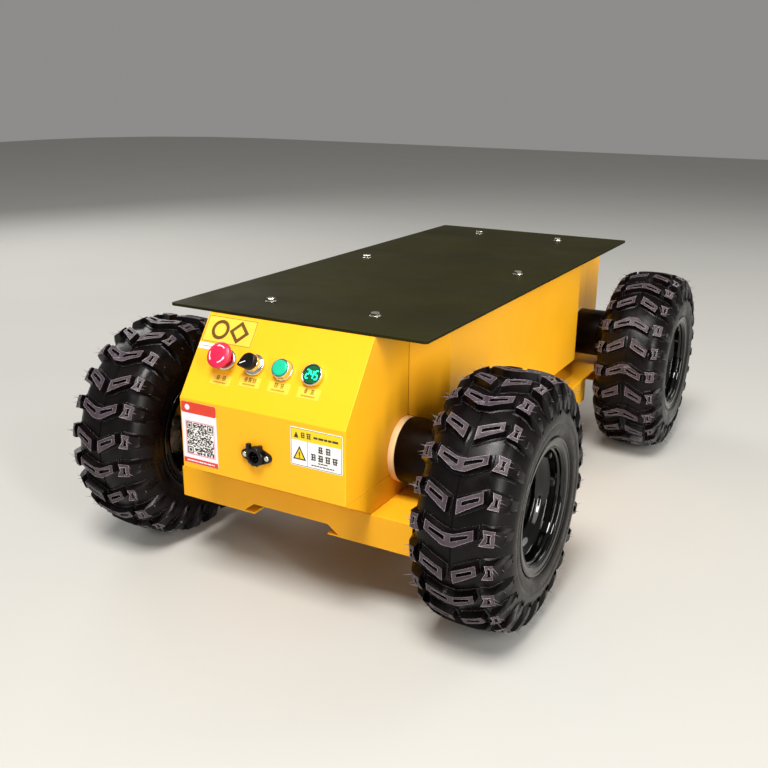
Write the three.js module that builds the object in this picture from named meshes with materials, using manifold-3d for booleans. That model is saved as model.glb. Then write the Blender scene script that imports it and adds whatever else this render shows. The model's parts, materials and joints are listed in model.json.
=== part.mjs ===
// Four wheel robot chassis: a folded-sheet body on a flanged tray, four independently driven
// pneumatic wheels, a flat deck for payloads and a control panel on the sloped nose.
// Units are millimetres. +Z is up, the robot drives towards -Y, and +X is its left-hand side.
// The origin is on the ground, midway between the four wheels.

import * as THREE from 'three';
import { mergeVertices } from 'three/addons/utils/BufferGeometryUtils.js';
import Module from 'manifold-3d';

const wasm = await Module();
wasm.setup();

// ---------------------------------------------------------------- driving dimensions
const GAP = 0.3; // left between pieces that touch

const TYRE_R = 175;
const TYRE_HALF_W = 66;
const BEAD_R = 77;
const WHEEL_X = 284;
const WHEEL_Y = 381;

const SHEET = 2.5;
const TRAY = { halfX: 195, halfY: 470, top: 150, bottom: 102, sheet: 3, skirtHalfY: 277, lip: 30, endLip: 60 };
const NOTCH = { bottomHalf: 86, topHalf: 63, height: 16 };
const BODY_HALF_X = 132.6;
const CURB_HALF_Y = 469; // at its foot; its ends slant outward up to the covers
const SEAM_Z = 187; // where the removable covers meet the welded base
const ROOF_Z = 393.5;

const NOSE = { faceY: -535, foldZ: 289.4, tilt: THREE.MathUtils.degToRad(34.9), seamY: -367 };
const TAIL = { seamY: 444.5, faceY: 528, foldZ: 356, roofY: 462 };
const WIDE = { halfX: 175, rearY: 257 };
const COVER_LIP = 14; // turned in along the lower edge of each cover

const DECK = { width: 411, length: 912, thick: 4, midY: -5, bottom: 394, cornerR: 5 };
const DECK_HOLE_R = 4.4;
const SPOT_FACE = { r: 8.4, depth: 0.3 }; // clears the head of each deck bolt
const DECK_BOLTS = [[-86.7, -381], [86.7, -381], [-146, -3], [146, -3], [-86.7, 371], [86.7, 371]];

// offset final drive: a pinion above the wheel axis turns a gear on the wheel hub
const GEAR = { module: 2.5, wheelTeeth: 20, pinionTeeth: 12, start: 218, width: 18 };
const AXIS_OFFSET = GEAR.module * (GEAR.wheelTeeth + GEAR.pinionTeeth) / 2;
const DRIVE_R = 46.7;
const SPIGOT_R = 40; // the drive's neck, which passes through the wall
const CASE = { wheelLobe: 32.5, pinionLobe: 23, wall: 3, plateStart: 207, start: 212, end: 246 };
const HUB_SHAFT_R = 12.3;
const PINION_SHAFT_R = 8;
const MOTOR = { r: 38, start: 22, end: 127.9, shaftR: 6 };
const RING = { inner: SPIGOT_R + 0.4, outer: DRIVE_R, start: BODY_HALF_X + GAP, end: 142.6 };
const HUB_FLANGE = { r: 50, start: 277.7, thick: 6 };
const RIM_LEDGE_R = 42; // the rim's web ends here, around the hub's raised boss
const PILOT_R = 20;
const WEB_THICK = 4;

const PANEL_BARREL_R = 11;
const PANEL_HOLE_R = 11.6;
const PANEL_DOWN = 64.2; // the four devices stand in one row, this far down the slope
const PANEL_PITCH = 46.7;
const PANEL_FIRST_X = -75.8;
const PANEL = ['estop', 'selector', 'start', 'voltmeter'].reduce((places, name, i) => (
  { ...places, [name]: [PANEL_FIRST_X + i * PANEL_PITCH, PANEL_DOWN] }), {});
const KNOB = { backR: 11.8, tip: 18.7, base: 8, top: 21.4, restAngle: 119 };
const SOCKET = { x: -3.7, z: 230, barrelR: 10, boreR: 8.2, boreFloor: -8, bossR: 13, depth: 9 };

const FINE = 32;
const ROUND = 20;
const COARSE = 12;

// ---------------------------------------------------------------- finishes
const finish = (color, roughness, metalness = 0) => ({ color, roughness, metalness });
const YELLOW = finish(0xf2a516, 0.38);
const DECK_BLACK = finish(0x24241c, 0.55);
const RUBBER = finish(0x1b1817, 0.8);
const GLOSS_BLACK = finish(0x0b0b0c, 0.22, 0.1);
const DRIVE_BLACK = finish(0x141011, 0.45);
const STEEL = finish(0xc9c7c1, 0.3, 0.9);
const CREAM = finish(0xe9dfc8, 0.4);
const RED = finish(0xd5264a, 0.35);
const GREEN = finish(0x1da27a, 0.35);
const BLACK_PLASTIC = finish(0x161616, 0.45);
const BATTERY_BLUE = finish(0x2b4a86, 0.5);
const ALLOY = finish(0x9b9ea2, 0.4, 0.8);

// ---------------------------------------------------------------- solids and booleans
function toSolid(geometry) {
  const bare = geometry.index ? geometry.toNonIndexed() : geometry.clone();
  bare.deleteAttribute('normal');
  bare.deleteAttribute('uv');
  const merged = mergeVertices(bare, 1e-4);
  const vertProperties = new Float32Array(merged.attributes.position.array);
  const triVerts = new Uint32Array(merged.index.array);
  return new wasm.Manifold(new wasm.Mesh({ numProp: 3, vertProperties, triVerts }));
}

function toGeometry(manifold) {
  const mesh = manifold.getMesh();
  const geometry = new THREE.BufferGeometry();
  geometry.setAttribute('position', new THREE.BufferAttribute(mesh.vertProperties, 3));
  geometry.setIndex(new THREE.BufferAttribute(mesh.triVerts, 1));
  geometry.computeVertexNormals();
  return geometry;
}

const join = (solids) => solids.reduce((whole, piece) => whole.add(piece));
const cut = (body, tools) => tools.reduce((left, tool) => left.subtract(tool), body);

function box(x0, x1, y0, y1, z0, z1) {
  const geometry = new THREE.BoxGeometry(x1 - x0, y1 - y0, z1 - z0);
  geometry.translate((x0 + x1) / 2, (y0 + y1) / 2, (z0 + z1) / 2);
  return toSolid(geometry);
}

// profile points are [distance along the axis, radius]
function turned(profile, sides, axis) {
  const points = profile.map(([along, radius]) => new THREE.Vector2(radius, along));
  const closesOnAxis = profile[0][1] === 0;
  if (!closesOnAxis) points.push(points[0].clone());
  const area = THREE.ShapeUtils.area(points);
  if (area < 0) points.reverse();
  const geometry = new THREE.LatheGeometry(points, sides);
  if (axis === 'x') geometry.rotateZ(-Math.PI / 2);
  if (axis === 'z') geometry.rotateX(Math.PI / 2);
  return toSolid(geometry);
}

function rod(radius, start, end, sides, axis) {
  return turned([[start, 0], [start, radius], [end, radius], [end, 0]], sides, axis);
}

const AXES = {
  x: new THREE.Matrix4().makeBasis(
    new THREE.Vector3(0, 1, 0), new THREE.Vector3(0, 0, 1), new THREE.Vector3(1, 0, 0)),
  z: new THREE.Matrix4(),
};

// a flat outline swept along X (outline in y, z) or along Z (outline in x, y)
function swept(shape, start, end, axis, curveSegments = 6) {
  const options = { depth: end - start, bevelEnabled: false, curveSegments };
  const geometry = new THREE.ExtrudeGeometry(shape, options);
  geometry.translate(0, 0, start);
  geometry.applyMatrix4(AXES[axis]);
  return toSolid(geometry);
}

const outline = (points) => new THREE.Shape(points.map(([a, b]) => new THREE.Vector2(a, b)));

// the outline of a folded sheet: a path and the same path offset to its left, mitred at the folds
function foldedSheet(path, thickness) {
  const points = path.map(([a, b]) => new THREE.Vector2(a, b));
  const last = points.length - 1;
  const direction = (i) => points[i + 1].clone().sub(points[i]).normalize();
  const offset = points.map((point, i) => {
    const before = direction(Math.max(i - 1, 0));
    const after = direction(Math.min(i, last - 1));
    const mitre = before.clone().add(after).normalize();
    const left = new THREE.Vector2(-mitre.y, mitre.x);
    return point.clone().addScaledVector(left, thickness / mitre.dot(after));
  });
  return new THREE.Shape([...points, ...offset.reverse()]);
}

function roundedRectangle(width, height, radius) {
  const x = width / 2 - radius;
  const y = height / 2 - radius;
  const shape = new THREE.Shape();
  shape.absarc(x, y, radius, 0, Math.PI / 2);
  shape.absarc(-x, y, radius, Math.PI / 2, Math.PI);
  shape.absarc(-x, -y, radius, Math.PI, 1.5 * Math.PI);
  shape.absarc(x, -y, radius, 1.5 * Math.PI, 2 * Math.PI);
  return shape;
}

const root = new THREE.Group();

function addPart(group, name, solid, look) {
  const mesh = new THREE.Mesh(toGeometry(solid), new THREE.MeshStandardMaterial(look));
  mesh.name = name;
  group.add(mesh);
  return mesh;
}

// ---------------------------------------------------------------- welded base
function baseTray() {
  const { halfX, halfY, top, bottom, sheet, skirtHalfY, lip, endLip } = TRAY;
  const pieces = [box(-halfX, halfX, -halfY, halfY, top - sheet, top)];
  const endLips = [];
  for (const end of [-1, 1]) {
    const outer = end * halfY;
    const inner = end * (halfY - sheet);
    const lipEdge = end * (halfY - endLip);
    pieces.push(box(-halfX, halfX, Math.min(outer, inner), Math.max(outer, inner), bottom, top));
    for (const [x0, x1] of [[-halfX, -NOTCH.topHalf], [NOTCH.topHalf, halfX]]) {
      endLips.push(box(x0, x1, Math.min(outer, lipEdge), Math.max(outer, lipEdge), bottom, bottom + sheet));
    }
  }
  for (const [x0, x1] of [[-halfX, -halfX + sheet], [halfX - sheet, halfX]]) {
    pieces.push(box(x0, x1, -skirtHalfY, skirtHalfY, bottom, top));
  }
  for (const [x0, x1] of [[-halfX, -halfX + lip], [halfX - lip, halfX]]) {
    pieces.push(box(x0, x1, -skirtHalfY, skirtHalfY, bottom, bottom + sheet));
  }
  const notchTop = bottom + NOTCH.height;
  const notch = outline([[-NOTCH.bottomHalf, bottom - 1], [NOTCH.bottomHalf, bottom - 1],
    [NOTCH.topHalf, notchTop], [-NOTCH.topHalf, notchTop]]);
  const notchGeometry = new THREE.ExtrudeGeometry(notch, { depth: 2 * halfY + 10, bevelEnabled: false });
  notchGeometry.rotateX(Math.PI / 2);
  notchGeometry.translate(0, halfY + 5, 0);
  return join([cut(join(pieces), [toSolid(notchGeometry)]), ...endLips]);
}

const driveBore = (wheelY, radius) =>
  rod(radius, -WHEEL_X, WHEEL_X, ROUND, 'x').translate([0, wheelY, TYRE_R + AXIS_OFFSET]);

const wallBoreR = SPIGOT_R + 1.2;
const barrelClearanceR = DRIVE_R + 1;

function baseCurb() {
  const z0 = TRAY.top + GAP;
  const z1 = SEAM_Z - GAP;
  const reach = (faceY, z) => (Math.abs(faceY) - CURB_HALF_Y) * (z - z0) / (z1 - z0) + CURB_HALF_Y;
  const chinAngle = Math.atan2(z1 - z0, Math.abs(NOSE.faceY) - CURB_HALF_Y);
  const wall = SHEET / Math.sin(chinAngle);
  const profile = (inset, low, high) => outline([
    [inset - reach(NOSE.faceY, low), low], [reach(TAIL.faceY, low) - inset, low],
    [reach(TAIL.faceY, high) - inset, high], [inset - reach(NOSE.faceY, high), high]]);
  const outer = swept(profile(0, z0, z1), -BODY_HALF_X, BODY_HALF_X, 'x');
  const inner = swept(profile(wall, z0 - 1, z1 + 1), -BODY_HALF_X + SHEET, BODY_HALF_X - SHEET, 'x');
  return cut(outer, [inner, driveBore(-WHEEL_Y, wallBoreR), driveBore(WHEEL_Y, wallBoreR)]);
}

// ---------------------------------------------------------------- body shell
function sideWall() {
  const slantY = WIDE.halfX - BODY_HALF_X;
  const frontY = NOSE.seamY + GAP;
  const rearY = TAIL.seamY - GAP;
  const path = [[BODY_HALF_X, frontY], [WIDE.halfX, frontY + slantY], [WIDE.halfX, WIDE.rearY],
    [BODY_HALF_X, WIDE.rearY + slantY], [BODY_HALF_X, rearY]];
  const wall = swept(foldedSheet(path, SHEET), SEAM_Z + GAP, ROOF_Z, 'z');
  const topFlange = box(BODY_HALF_X - SHEET, WIDE.halfX - SHEET / 2,
    frontY + slantY + 10, WIDE.rearY - 10, ROOF_Z - SHEET, ROOF_Z);
  const boltHole = rod(DECK_HOLE_R, ROOF_Z - 20, ROOF_Z + 20, COARSE, 'z').translate([146, -3, 0]);
  const frontClearance = driveBore(-WHEEL_Y, barrelClearanceR);
  return cut(wall.add(topFlange), [boltHole, frontClearance, driveBore(WHEEL_Y, wallBoreR)]);
}

const noseRoofY = NOSE.faceY + (ROOF_Z - NOSE.foldZ) * Math.tan(NOSE.tilt);

function panelFrame() {
  const frame = new THREE.Group();
  frame.position.set(0, noseRoofY, ROOF_Z);
  frame.rotation.x = Math.PI / 2 - NOSE.tilt;
  return frame;
}

function frontHood() {
  const rearY = NOSE.seamY - GAP;
  const lipY = NOSE.faceY + COVER_LIP;
  const skin = foldedSheet([[lipY, SEAM_Z], [NOSE.faceY, SEAM_Z], [NOSE.faceY, NOSE.foldZ],
    [noseRoofY, ROOF_Z], [rearY, ROOF_Z]], -SHEET);
  const cheek = outline([[rearY, SEAM_Z], [rearY, ROOF_Z], [noseRoofY, ROOF_Z],
    [NOSE.faceY, NOSE.foldZ], [NOSE.faceY, SEAM_Z]]);
  const shell = join([
    swept(skin, -BODY_HALF_X, BODY_HALF_X, 'x'),
    swept(cheek, -BODY_HALF_X, -BODY_HALF_X + SHEET, 'x'),
    swept(cheek, BODY_HALF_X - SHEET, BODY_HALF_X, 'x'),
  ]);
  const holes = [driveBore(-WHEEL_Y, wallBoreR)];
  for (const [x, down] of Object.values(PANEL)) {
    const hole = rod(PANEL_HOLE_R, -20, 20, ROUND, 'z').translate([x, -down, 0]);
    const tiltDegrees = 90 - THREE.MathUtils.radToDeg(NOSE.tilt);
    holes.push(hole.rotate([tiltDegrees, 0, 0]).translate([0, noseRoofY, ROOF_Z]));
  }
  const socketHole = rod(SOCKET.barrelR + 0.6, -20, 20, ROUND, 'z').rotate([90, 0, 0]);
  holes.push(socketHole.translate([SOCKET.x, NOSE.faceY, SOCKET.z]));
  for (const [x, y] of DECK_BOLTS.slice(0, 2)) {
    holes.push(rod(DECK_HOLE_R, ROOF_Z - 20, ROOF_Z + 20, COARSE, 'z').translate([x, y, 0]));
  }
  return cut(shell, holes);
}

function rearCover() {
  const frontY = TAIL.seamY;
  const lipY = TAIL.faceY - COVER_LIP;
  const skin = foldedSheet([[lipY, SEAM_Z], [TAIL.faceY, SEAM_Z], [TAIL.faceY, TAIL.foldZ],
    [TAIL.roofY, ROOF_Z], [frontY, ROOF_Z]], SHEET);
  const cheek = outline([[frontY, SEAM_Z], [TAIL.faceY, SEAM_Z], [TAIL.faceY, TAIL.foldZ],
    [TAIL.roofY, ROOF_Z], [frontY, ROOF_Z]]);
  return join([
    swept(skin, -BODY_HALF_X, BODY_HALF_X, 'x'),
    swept(cheek, -BODY_HALF_X, -BODY_HALF_X + SHEET, 'x'),
    swept(cheek, BODY_HALF_X - SHEET, BODY_HALF_X, 'x'),
  ]);
}

function rearDeckBar() {
  const barY = DECK_BOLTS[4][1];
  const halfWidth = 19;
  const legZ = ROOF_Z - 24;
  const channel = foldedSheet([[barY + halfWidth, legZ], [barY + halfWidth, ROOF_Z],
    [barY - halfWidth, ROOF_Z], [barY - halfWidth, legZ]], SHEET);
  const halfX = BODY_HALF_X - SHEET - GAP;
  const holes = DECK_BOLTS.slice(4).map(([x, y]) =>
    rod(DECK_HOLE_R, ROOF_Z - 10, ROOF_Z + 10, COARSE, 'z').translate([x, y, 0]));
  return cut(swept(channel, -halfX, halfX, 'x'), holes);
}

function deckPlate() {
  const top = DECK.bottom + DECK.thick;
  const shape = roundedRectangle(DECK.width, DECK.length, DECK.cornerR);
  const plate = swept(shape, DECK.bottom, top, 'z', 3).translate([0, DECK.midY, 0]);
  const holes = DECK_BOLTS.flatMap(([x, y]) => [
    rod(DECK_HOLE_R, DECK.bottom - 10, top + 10, COARSE, 'z').translate([x, y, 0]),
    rod(SPOT_FACE.r, top - SPOT_FACE.depth, top + 10, ROUND, 'z').translate([x, y, 0]),
  ]);
  return cut(plate, holes);
}

function deckBolt() {
  const seat = DECK.bottom + DECK.thick - SPOT_FACE.depth + GAP;
  const hexRadius = 7.5;
  const head = rod(hexRadius, seat, seat + 5.6, 6, 'z');
  return head.add(rod(4, seat - 22, seat + 1, 12, 'z'));
}

// ---------------------------------------------------------------- wheels
function tyre() {
  const carcass = [
    [58.6, BEAD_R + 0.6], [58.6, 95], [TYRE_HALF_W, 128], [54, 166], [34, TYRE_R], [-34, TYRE_R],
    [-54, 166], [-TYRE_HALF_W, 128], [-58.6, 95], [-58.6, BEAD_R + 0.6],
    [-42, BEAD_R + 0.6], [-48, 155], [48, 155], [42, BEAD_R + 0.6],
  ];
  return turned(carcass, FINE, 'x');
}

function rim() {
  const lip = 93;
  const well = 60;
  const skin = 3;
  const barrel = [
    [-62, lip], [-59, lip], [-59, BEAD_R], [-40, BEAD_R], [-31, well], [27, well], [36, BEAD_R],
    [59, BEAD_R], [59, lip], [62, lip], [62, BEAD_R - skin], [38, BEAD_R - skin], [29, well - skin],
    [WEB_THICK, well - skin], [WEB_THICK, RIM_LEDGE_R], [0, RIM_LEDGE_R], [0, well - skin],
    [-33, well - skin], [-42, BEAD_R - skin], [-62, BEAD_R - skin],
  ];
  return turned(barrel, 20, 'x');
}

// straight-flanked teeth; firstTooth is the angle of one tooth's centre from +Z
function gearShape(teeth, firstTooth) {
  const pitchR = GEAR.module * teeth / 2;
  const tip = { r: pitchR + 0.85 * GEAR.module, half: 0.10 };
  const foot = { r: pitchR - 1.1 * GEAR.module, half: 0.30 };
  const points = [];
  for (let i = 0; i < teeth; i += 1) {
    for (const [r, share] of [[foot.r, -foot.half], [tip.r, -tip.half], [tip.r, tip.half],
      [foot.r, foot.half]]) {
      const angle = Math.PI / 2 + firstTooth + (i + share) * 2 * Math.PI / teeth;
      points.push([r * Math.cos(angle), r * Math.sin(angle)]);
    }
  }
  return outline(points);
}

function hub() {
  const flangeEnd = HUB_FLANGE.start + HUB_FLANGE.thick;
  const capEnd = flangeEnd + 14;
  const bossR = RIM_LEDGE_R - 1;
  const spindle = turned([[CASE.start + 0.8, 0], [CASE.start + 0.8, HUB_SHAFT_R],
    [HUB_FLANGE.start, HUB_SHAFT_R], [HUB_FLANGE.start, HUB_FLANGE.r], [flangeEnd, HUB_FLANGE.r],
    [flangeEnd, bossR], [flangeEnd + WEB_THICK, bossR], [flangeEnd + WEB_THICK, PILOT_R],
    [capEnd, PILOT_R], [capEnd, 0]], ROUND, 'x');
  const teeth = swept(gearShape(GEAR.wheelTeeth, 0), GEAR.start, GEAR.start + GEAR.width, 'x');
  return spindle.add(teeth);
}

// ---------------------------------------------------------------- drives
function lobes(wheelLobe, pinionLobe) {
  const lean = Math.asin((wheelLobe - pinionLobe) / AXIS_OFFSET);
  const shape = new THREE.Shape();
  shape.absarc(0, 0, wheelLobe, Math.PI - lean, 2 * Math.PI + lean);
  shape.absarc(0, AXIS_OFFSET, pinionLobe, lean, Math.PI - lean);
  return shape;
}

function gearbox() {
  const bodyStart = MOTOR.end + 0.4;
  const barrelStart = RING.end + GAP;
  const barrel = turned([[bodyStart, 0], [bodyStart, SPIGOT_R], [barrelStart, SPIGOT_R], [barrelStart, DRIVE_R],
    [CASE.plateStart + 1, DRIVE_R], [CASE.plateStart + 1, 0]], ROUND, 'x').translate([0, 0, AXIS_OFFSET]);
  const plate = swept(lobes(CASE.wheelLobe, CASE.pinionLobe), CASE.plateStart, CASE.start, 'x', 6);
  const pinionBore = rod(PINION_SHAFT_R + 0.3, 178, CASE.start + 5, ROUND, 'x');
  const motorBore = rod(MOTOR.shaftR + 0.4, bodyStart - 5, 152, COARSE, 'x');
  return cut(barrel.add(plate), [pinionBore.translate([0, 0, AXIS_OFFSET]),
    motorBore.translate([0, 0, AXIS_OFFSET])]);
}

function gearCase() {
  const start = CASE.start + GAP;
  const outer = swept(lobes(CASE.wheelLobe, CASE.pinionLobe), start, CASE.end, 'x', 6);
  const inner = swept(lobes(CASE.wheelLobe - CASE.wall, CASE.pinionLobe - CASE.wall),
    start - 5, CASE.end - CASE.wall, 'x', 6);
  return cut(outer, [inner, rod(HUB_SHAFT_R + 0.4, start, CASE.end + 5, ROUND, 'x')]);
}

function pinion() {
  const halfTooth = Math.PI / GEAR.pinionTeeth;
  const firstTooth = GEAR.pinionTeeth % 2 === 0 ? halfTooth : 0;
  const teeth = swept(gearShape(GEAR.pinionTeeth, firstTooth), GEAR.start, GEAR.start + GEAR.width, 'x');
  const shaft = rod(PINION_SHAFT_R, 180, GEAR.start + GEAR.width + 4, COARSE, 'x');
  return teeth.add(shaft).translate([0, 0, AXIS_OFFSET]);
}

function motor() {
  const can = turned([[MOTOR.start, 0], [MOTOR.start, MOTOR.r - 6], [MOTOR.start + 5, MOTOR.r],
    [MOTOR.end, MOTOR.r], [MOTOR.end, MOTOR.shaftR], [150, MOTOR.shaftR], [150, 0]], COARSE, 'x');
  return can.translate([0, 0, AXIS_OFFSET]);
}

function mountingRing() {
  const ring = turned([[RING.start, RING.inner], [RING.start, RING.outer], [RING.end, RING.outer],
    [RING.end, RING.inner]], ROUND, 'x');
  return ring.translate([0, 0, AXIS_OFFSET]);
}

// each corner is built with its wheel on +X, and turned half round for the other side
function corner(name, side, end) {
  const group = new THREE.Group();
  group.position.set(0, end * WHEEL_Y, TYRE_R);
  group.rotation.z = side > 0 ? 0 : Math.PI;
  addPart(group, `tyre_${name}`, tyre(), RUBBER).position.x = WHEEL_X;
  addPart(group, `rim_${name}`, rim(), GLOSS_BLACK).position.x = WHEEL_X;
  addPart(group, `hub_${name}`, hub(), STEEL);
  addPart(group, `pinion_${name}`, pinion(), STEEL);
  addPart(group, `gear_case_${name}`, gearCase(), DRIVE_BLACK);
  addPart(group, `gearbox_${name}`, gearbox(), DRIVE_BLACK);
  addPart(group, `mounting_ring_${name}`, mountingRing(), CREAM);
  addPart(group, `motor_${name}`, motor(), DRIVE_BLACK);
  return group;
}

// ---------------------------------------------------------------- control panel
// local +Z points out of the panel, and z = 0 is its painted face
function estopCollar() {
  return turned([[-30, 0], [-30, PANEL_BARREL_R], [GAP, PANEL_BARREL_R], [GAP, 15], [4, 15], [5.4, 13],
    [5.4, 7], [-26, 7], [-26, 0]], ROUND, 'z');
}

const estopPlunger = () => rod(6, -20, 15, COARSE, 'z');

function estopButton() {
  return turned([[26, 0], [25.6, 9], [24.4, 15], [22.2, 18.4], [18.6, 18.4], [16.6, 15.5], [14.4, 10], [11, 9],
    [11, 6.4], [15.4, 6.4], [15.4, 0]], ROUND, 'z');
}

function selectorCollar() {
  return turned([[-30, 0], [-30, PANEL_BARREL_R], [GAP, PANEL_BARREL_R], [GAP, 15], [4, 15], [5, 13],
    [5, 6.5], [-22, 6.5], [-22, 0]], COARSE, 'z');
}

function selectorKnob() {
  const stem = turned([[-20, 0], [-20, 6], [5.4, 6], [5.4, 12.5], [9, 12.5], [9, 0]], COARSE, 'z');
  const lean = Math.asin(KNOB.backR / KNOB.tip); // where the straight sides leave the round back
  const grip = new THREE.Shape();
  grip.absarc(0, 0, KNOB.backR, Math.PI - lean, 2 * Math.PI + lean);
  grip.lineTo(0, KNOB.tip);
  return stem.add(swept(grip, KNOB.base, KNOB.top, 'z', 8)).rotate([0, 0, KNOB.restAngle]);
}

function startCollar() {
  return turned([[-30, 0], [-30, PANEL_BARREL_R], [GAP, PANEL_BARREL_R], [GAP, 14.5], [3, 14.5],
    [4, 13.3], [11.6, 13.3], [11.6, 11.6], [4.2, 11.6], [4.2, 8.5], [-14, 8.5], [-14, 0]], ROUND, 'z');
}

function startButton() {
  return turned([[-9, 0], [-9, 8], [8.2, 8], [8.2, 10.9], [12.8, 10.9], [14, 0]], ROUND, 'z');
}

function voltmeter() {
  return turned([[-35, 0], [-35, PANEL_BARREL_R], [GAP, PANEL_BARREL_R], [GAP, 15], [7, 15], [8, 13.5],
    [6.5, 11.5], [6.5, 0]], ROUND, 'z');
}

function chargeSocket() {
  const flange = swept(roundedRectangle(49, 26, 8), GAP, 3.2, 'z', 3);
  const boss = rod(SOCKET.bossR, 3, SOCKET.depth, ROUND, 'z');
  const barrel = rod(SOCKET.barrelR, -25, 4, ROUND, 'z');
  const bore = rod(SOCKET.boreR, SOCKET.boreFloor, SOCKET.depth + 5, COARSE, 'z');
  return cut(join([flange, boss, barrel]), [bore]);
}

function controlPanel() {
  const frame = panelFrame();
  const place = (name, solid, look, [x, down]) => addPart(frame, name, solid, look).position.set(x, -down, 0);
  place('estop_collar', estopCollar(), STEEL, PANEL.estop);
  place('estop_plunger', estopPlunger(), BLACK_PLASTIC, PANEL.estop);
  place('estop_button', estopButton(), RED, PANEL.estop);
  place('selector_collar', selectorCollar(), STEEL, PANEL.selector);
  place('selector_knob', selectorKnob(), BLACK_PLASTIC, PANEL.selector);
  place('start_collar', startCollar(), STEEL, PANEL.start);
  place('start_button', startButton(), GREEN, PANEL.start);
  place('voltmeter', voltmeter(), BLACK_PLASTIC, PANEL.voltmeter);
  root.add(frame);
  const socket = addPart(root, 'charge_socket', chargeSocket(), BLACK_PLASTIC);
  socket.position.set(SOCKET.x, NOSE.faceY, SOCKET.z);
  socket.rotation.x = Math.PI / 2;
}

// ---------------------------------------------------------------- what the body holds
const FLOOR_Z = TRAY.top + GAP;

function batteryPack() {
  const pack = box(-110, 110, -170, 150, FLOOR_Z, 300);
  const terminals = [-70, 70].map((x) => rod(8, 299, 312, COARSE, 'z').translate([x, -140, 0]));
  return join([pack, ...terminals]);
}

function motorController() {
  const base = box(-80, 80, 180, 290, FLOOR_Z, 185);
  const fins = Array.from({ length: 9 }, (_, i) => box(-72 + i * 17, -66 + i * 17, 184, 286, 184, 205));
  return join([base, ...fins]);
}

function receiver() {
  const housing = box(-45, 45, -310, -230, FLOOR_Z, 182);
  const aerial = rod(4, 181, 250, 12, 'z').translate([30, -290, 0]);
  return housing.add(aerial);
}

// ---------------------------------------------------------------- assembly
addPart(root, 'base_tray', baseTray(), YELLOW);
addPart(root, 'base_curb', baseCurb(), YELLOW);
addPart(root, 'side_wall_left', sideWall(), YELLOW);
addPart(root, 'side_wall_right', sideWall().mirror([1, 0, 0]), YELLOW);
addPart(root, 'front_hood', frontHood(), YELLOW);
addPart(root, 'rear_cover', rearCover(), YELLOW);
addPart(root, 'rear_deck_bar', rearDeckBar(), YELLOW);
addPart(root, 'deck_plate', deckPlate(), DECK_BLACK);
DECK_BOLTS.forEach(([x, y], i) => {
  addPart(root, `deck_bolt_${i + 1}`, deckBolt(), STEEL).position.set(x, y, 0);
});
for (const [endName, end] of [['front', -1], ['rear', 1]]) {
  for (const [sideName, side] of [['left', 1], ['right', -1]]) {
    root.add(corner(`${endName}_${sideName}`, side, end));
  }
}
controlPanel();
addPart(root, 'battery_pack', batteryPack(), BATTERY_BLUE);
addPart(root, 'motor_controller', motorController(), ALLOY);
addPart(root, 'receiver', receiver(), BLACK_PLASTIC);

export default root;
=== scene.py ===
"""The looks of a four wheel robot chassis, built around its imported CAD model. Units are metres."""
import json
import math
import random

import bmesh
import bpy
from mathutils import Matrix, Vector
from mathutils.geometry import tessellate_polygon


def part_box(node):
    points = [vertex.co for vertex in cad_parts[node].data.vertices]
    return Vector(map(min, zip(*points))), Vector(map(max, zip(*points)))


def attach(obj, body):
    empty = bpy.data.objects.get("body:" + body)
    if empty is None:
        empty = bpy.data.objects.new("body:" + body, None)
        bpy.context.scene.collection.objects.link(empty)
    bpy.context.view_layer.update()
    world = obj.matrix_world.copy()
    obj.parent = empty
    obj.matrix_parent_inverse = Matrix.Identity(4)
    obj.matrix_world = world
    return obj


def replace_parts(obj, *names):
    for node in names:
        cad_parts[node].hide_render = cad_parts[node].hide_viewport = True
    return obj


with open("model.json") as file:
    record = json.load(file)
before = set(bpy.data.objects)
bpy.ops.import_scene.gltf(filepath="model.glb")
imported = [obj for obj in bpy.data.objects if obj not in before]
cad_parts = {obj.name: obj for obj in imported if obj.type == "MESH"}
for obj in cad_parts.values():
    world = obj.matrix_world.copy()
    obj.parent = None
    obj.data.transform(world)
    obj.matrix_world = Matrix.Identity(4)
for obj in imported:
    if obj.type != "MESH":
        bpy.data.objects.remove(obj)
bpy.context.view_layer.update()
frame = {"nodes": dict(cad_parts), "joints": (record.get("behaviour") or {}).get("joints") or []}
MM = 0.001

# -------------------- places taken from the frame
CORNERS = ["front_left", "front_right", "rear_left", "rear_right"]
JOINTS = {joint["name"]: joint for joint in frame["joints"]}
WHEEL_AXLE = {c: Vector(JOINTS[f"wheel_{c}_spin"]["pos_m"]) for c in CORNERS}
DRIVE_AXLE = {c: Vector(JOINTS[f"pinion_{c}_spin"]["pos_m"]) for c in CORNERS}
TYRE_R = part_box("tyre_front_left")[1].z / 2
HOOD_LOW, HOOD_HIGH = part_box("front_hood")
NOSE_TILT = math.radians(34.9)
NOSE_FOLD_Z = 0.2894
NOSE_ROOF_Y = HOOD_LOW.y + (HOOD_HIGH.z - NOSE_FOLD_Z) * math.tan(NOSE_TILT)
# the row of four devices, measured across and down the slope from the middle of the roof's edge
DEVICE_FIRST_X = -0.0758
DEVICE_PITCH = 0.0467
DEVICE_DOWN = 0.0642
PANEL = {name: (DEVICE_FIRST_X + DEVICE_PITCH * i, DEVICE_DOWN)
         for i, name in enumerate(["estop", "selector", "start", "voltmeter"])}
PANEL_TURN = Matrix.Rotation(math.pi / 2 - NOSE_TILT, 4, "X")
PANEL_FRAME = Matrix.Translation((0, NOSE_ROOF_Y, HOOD_HIGH.z)) @ PANEL_TURN
FACE_FRAME = Matrix.Translation((0, HOOD_LOW.y, 0)) @ Matrix.Rotation(math.pi / 2, 4, "X")
PRINT_GAP = 0.00012


def on_panel(name):
    x, down = PANEL[name]
    return PANEL_FRAME @ Matrix.Translation((x, -down, 0))


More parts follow.
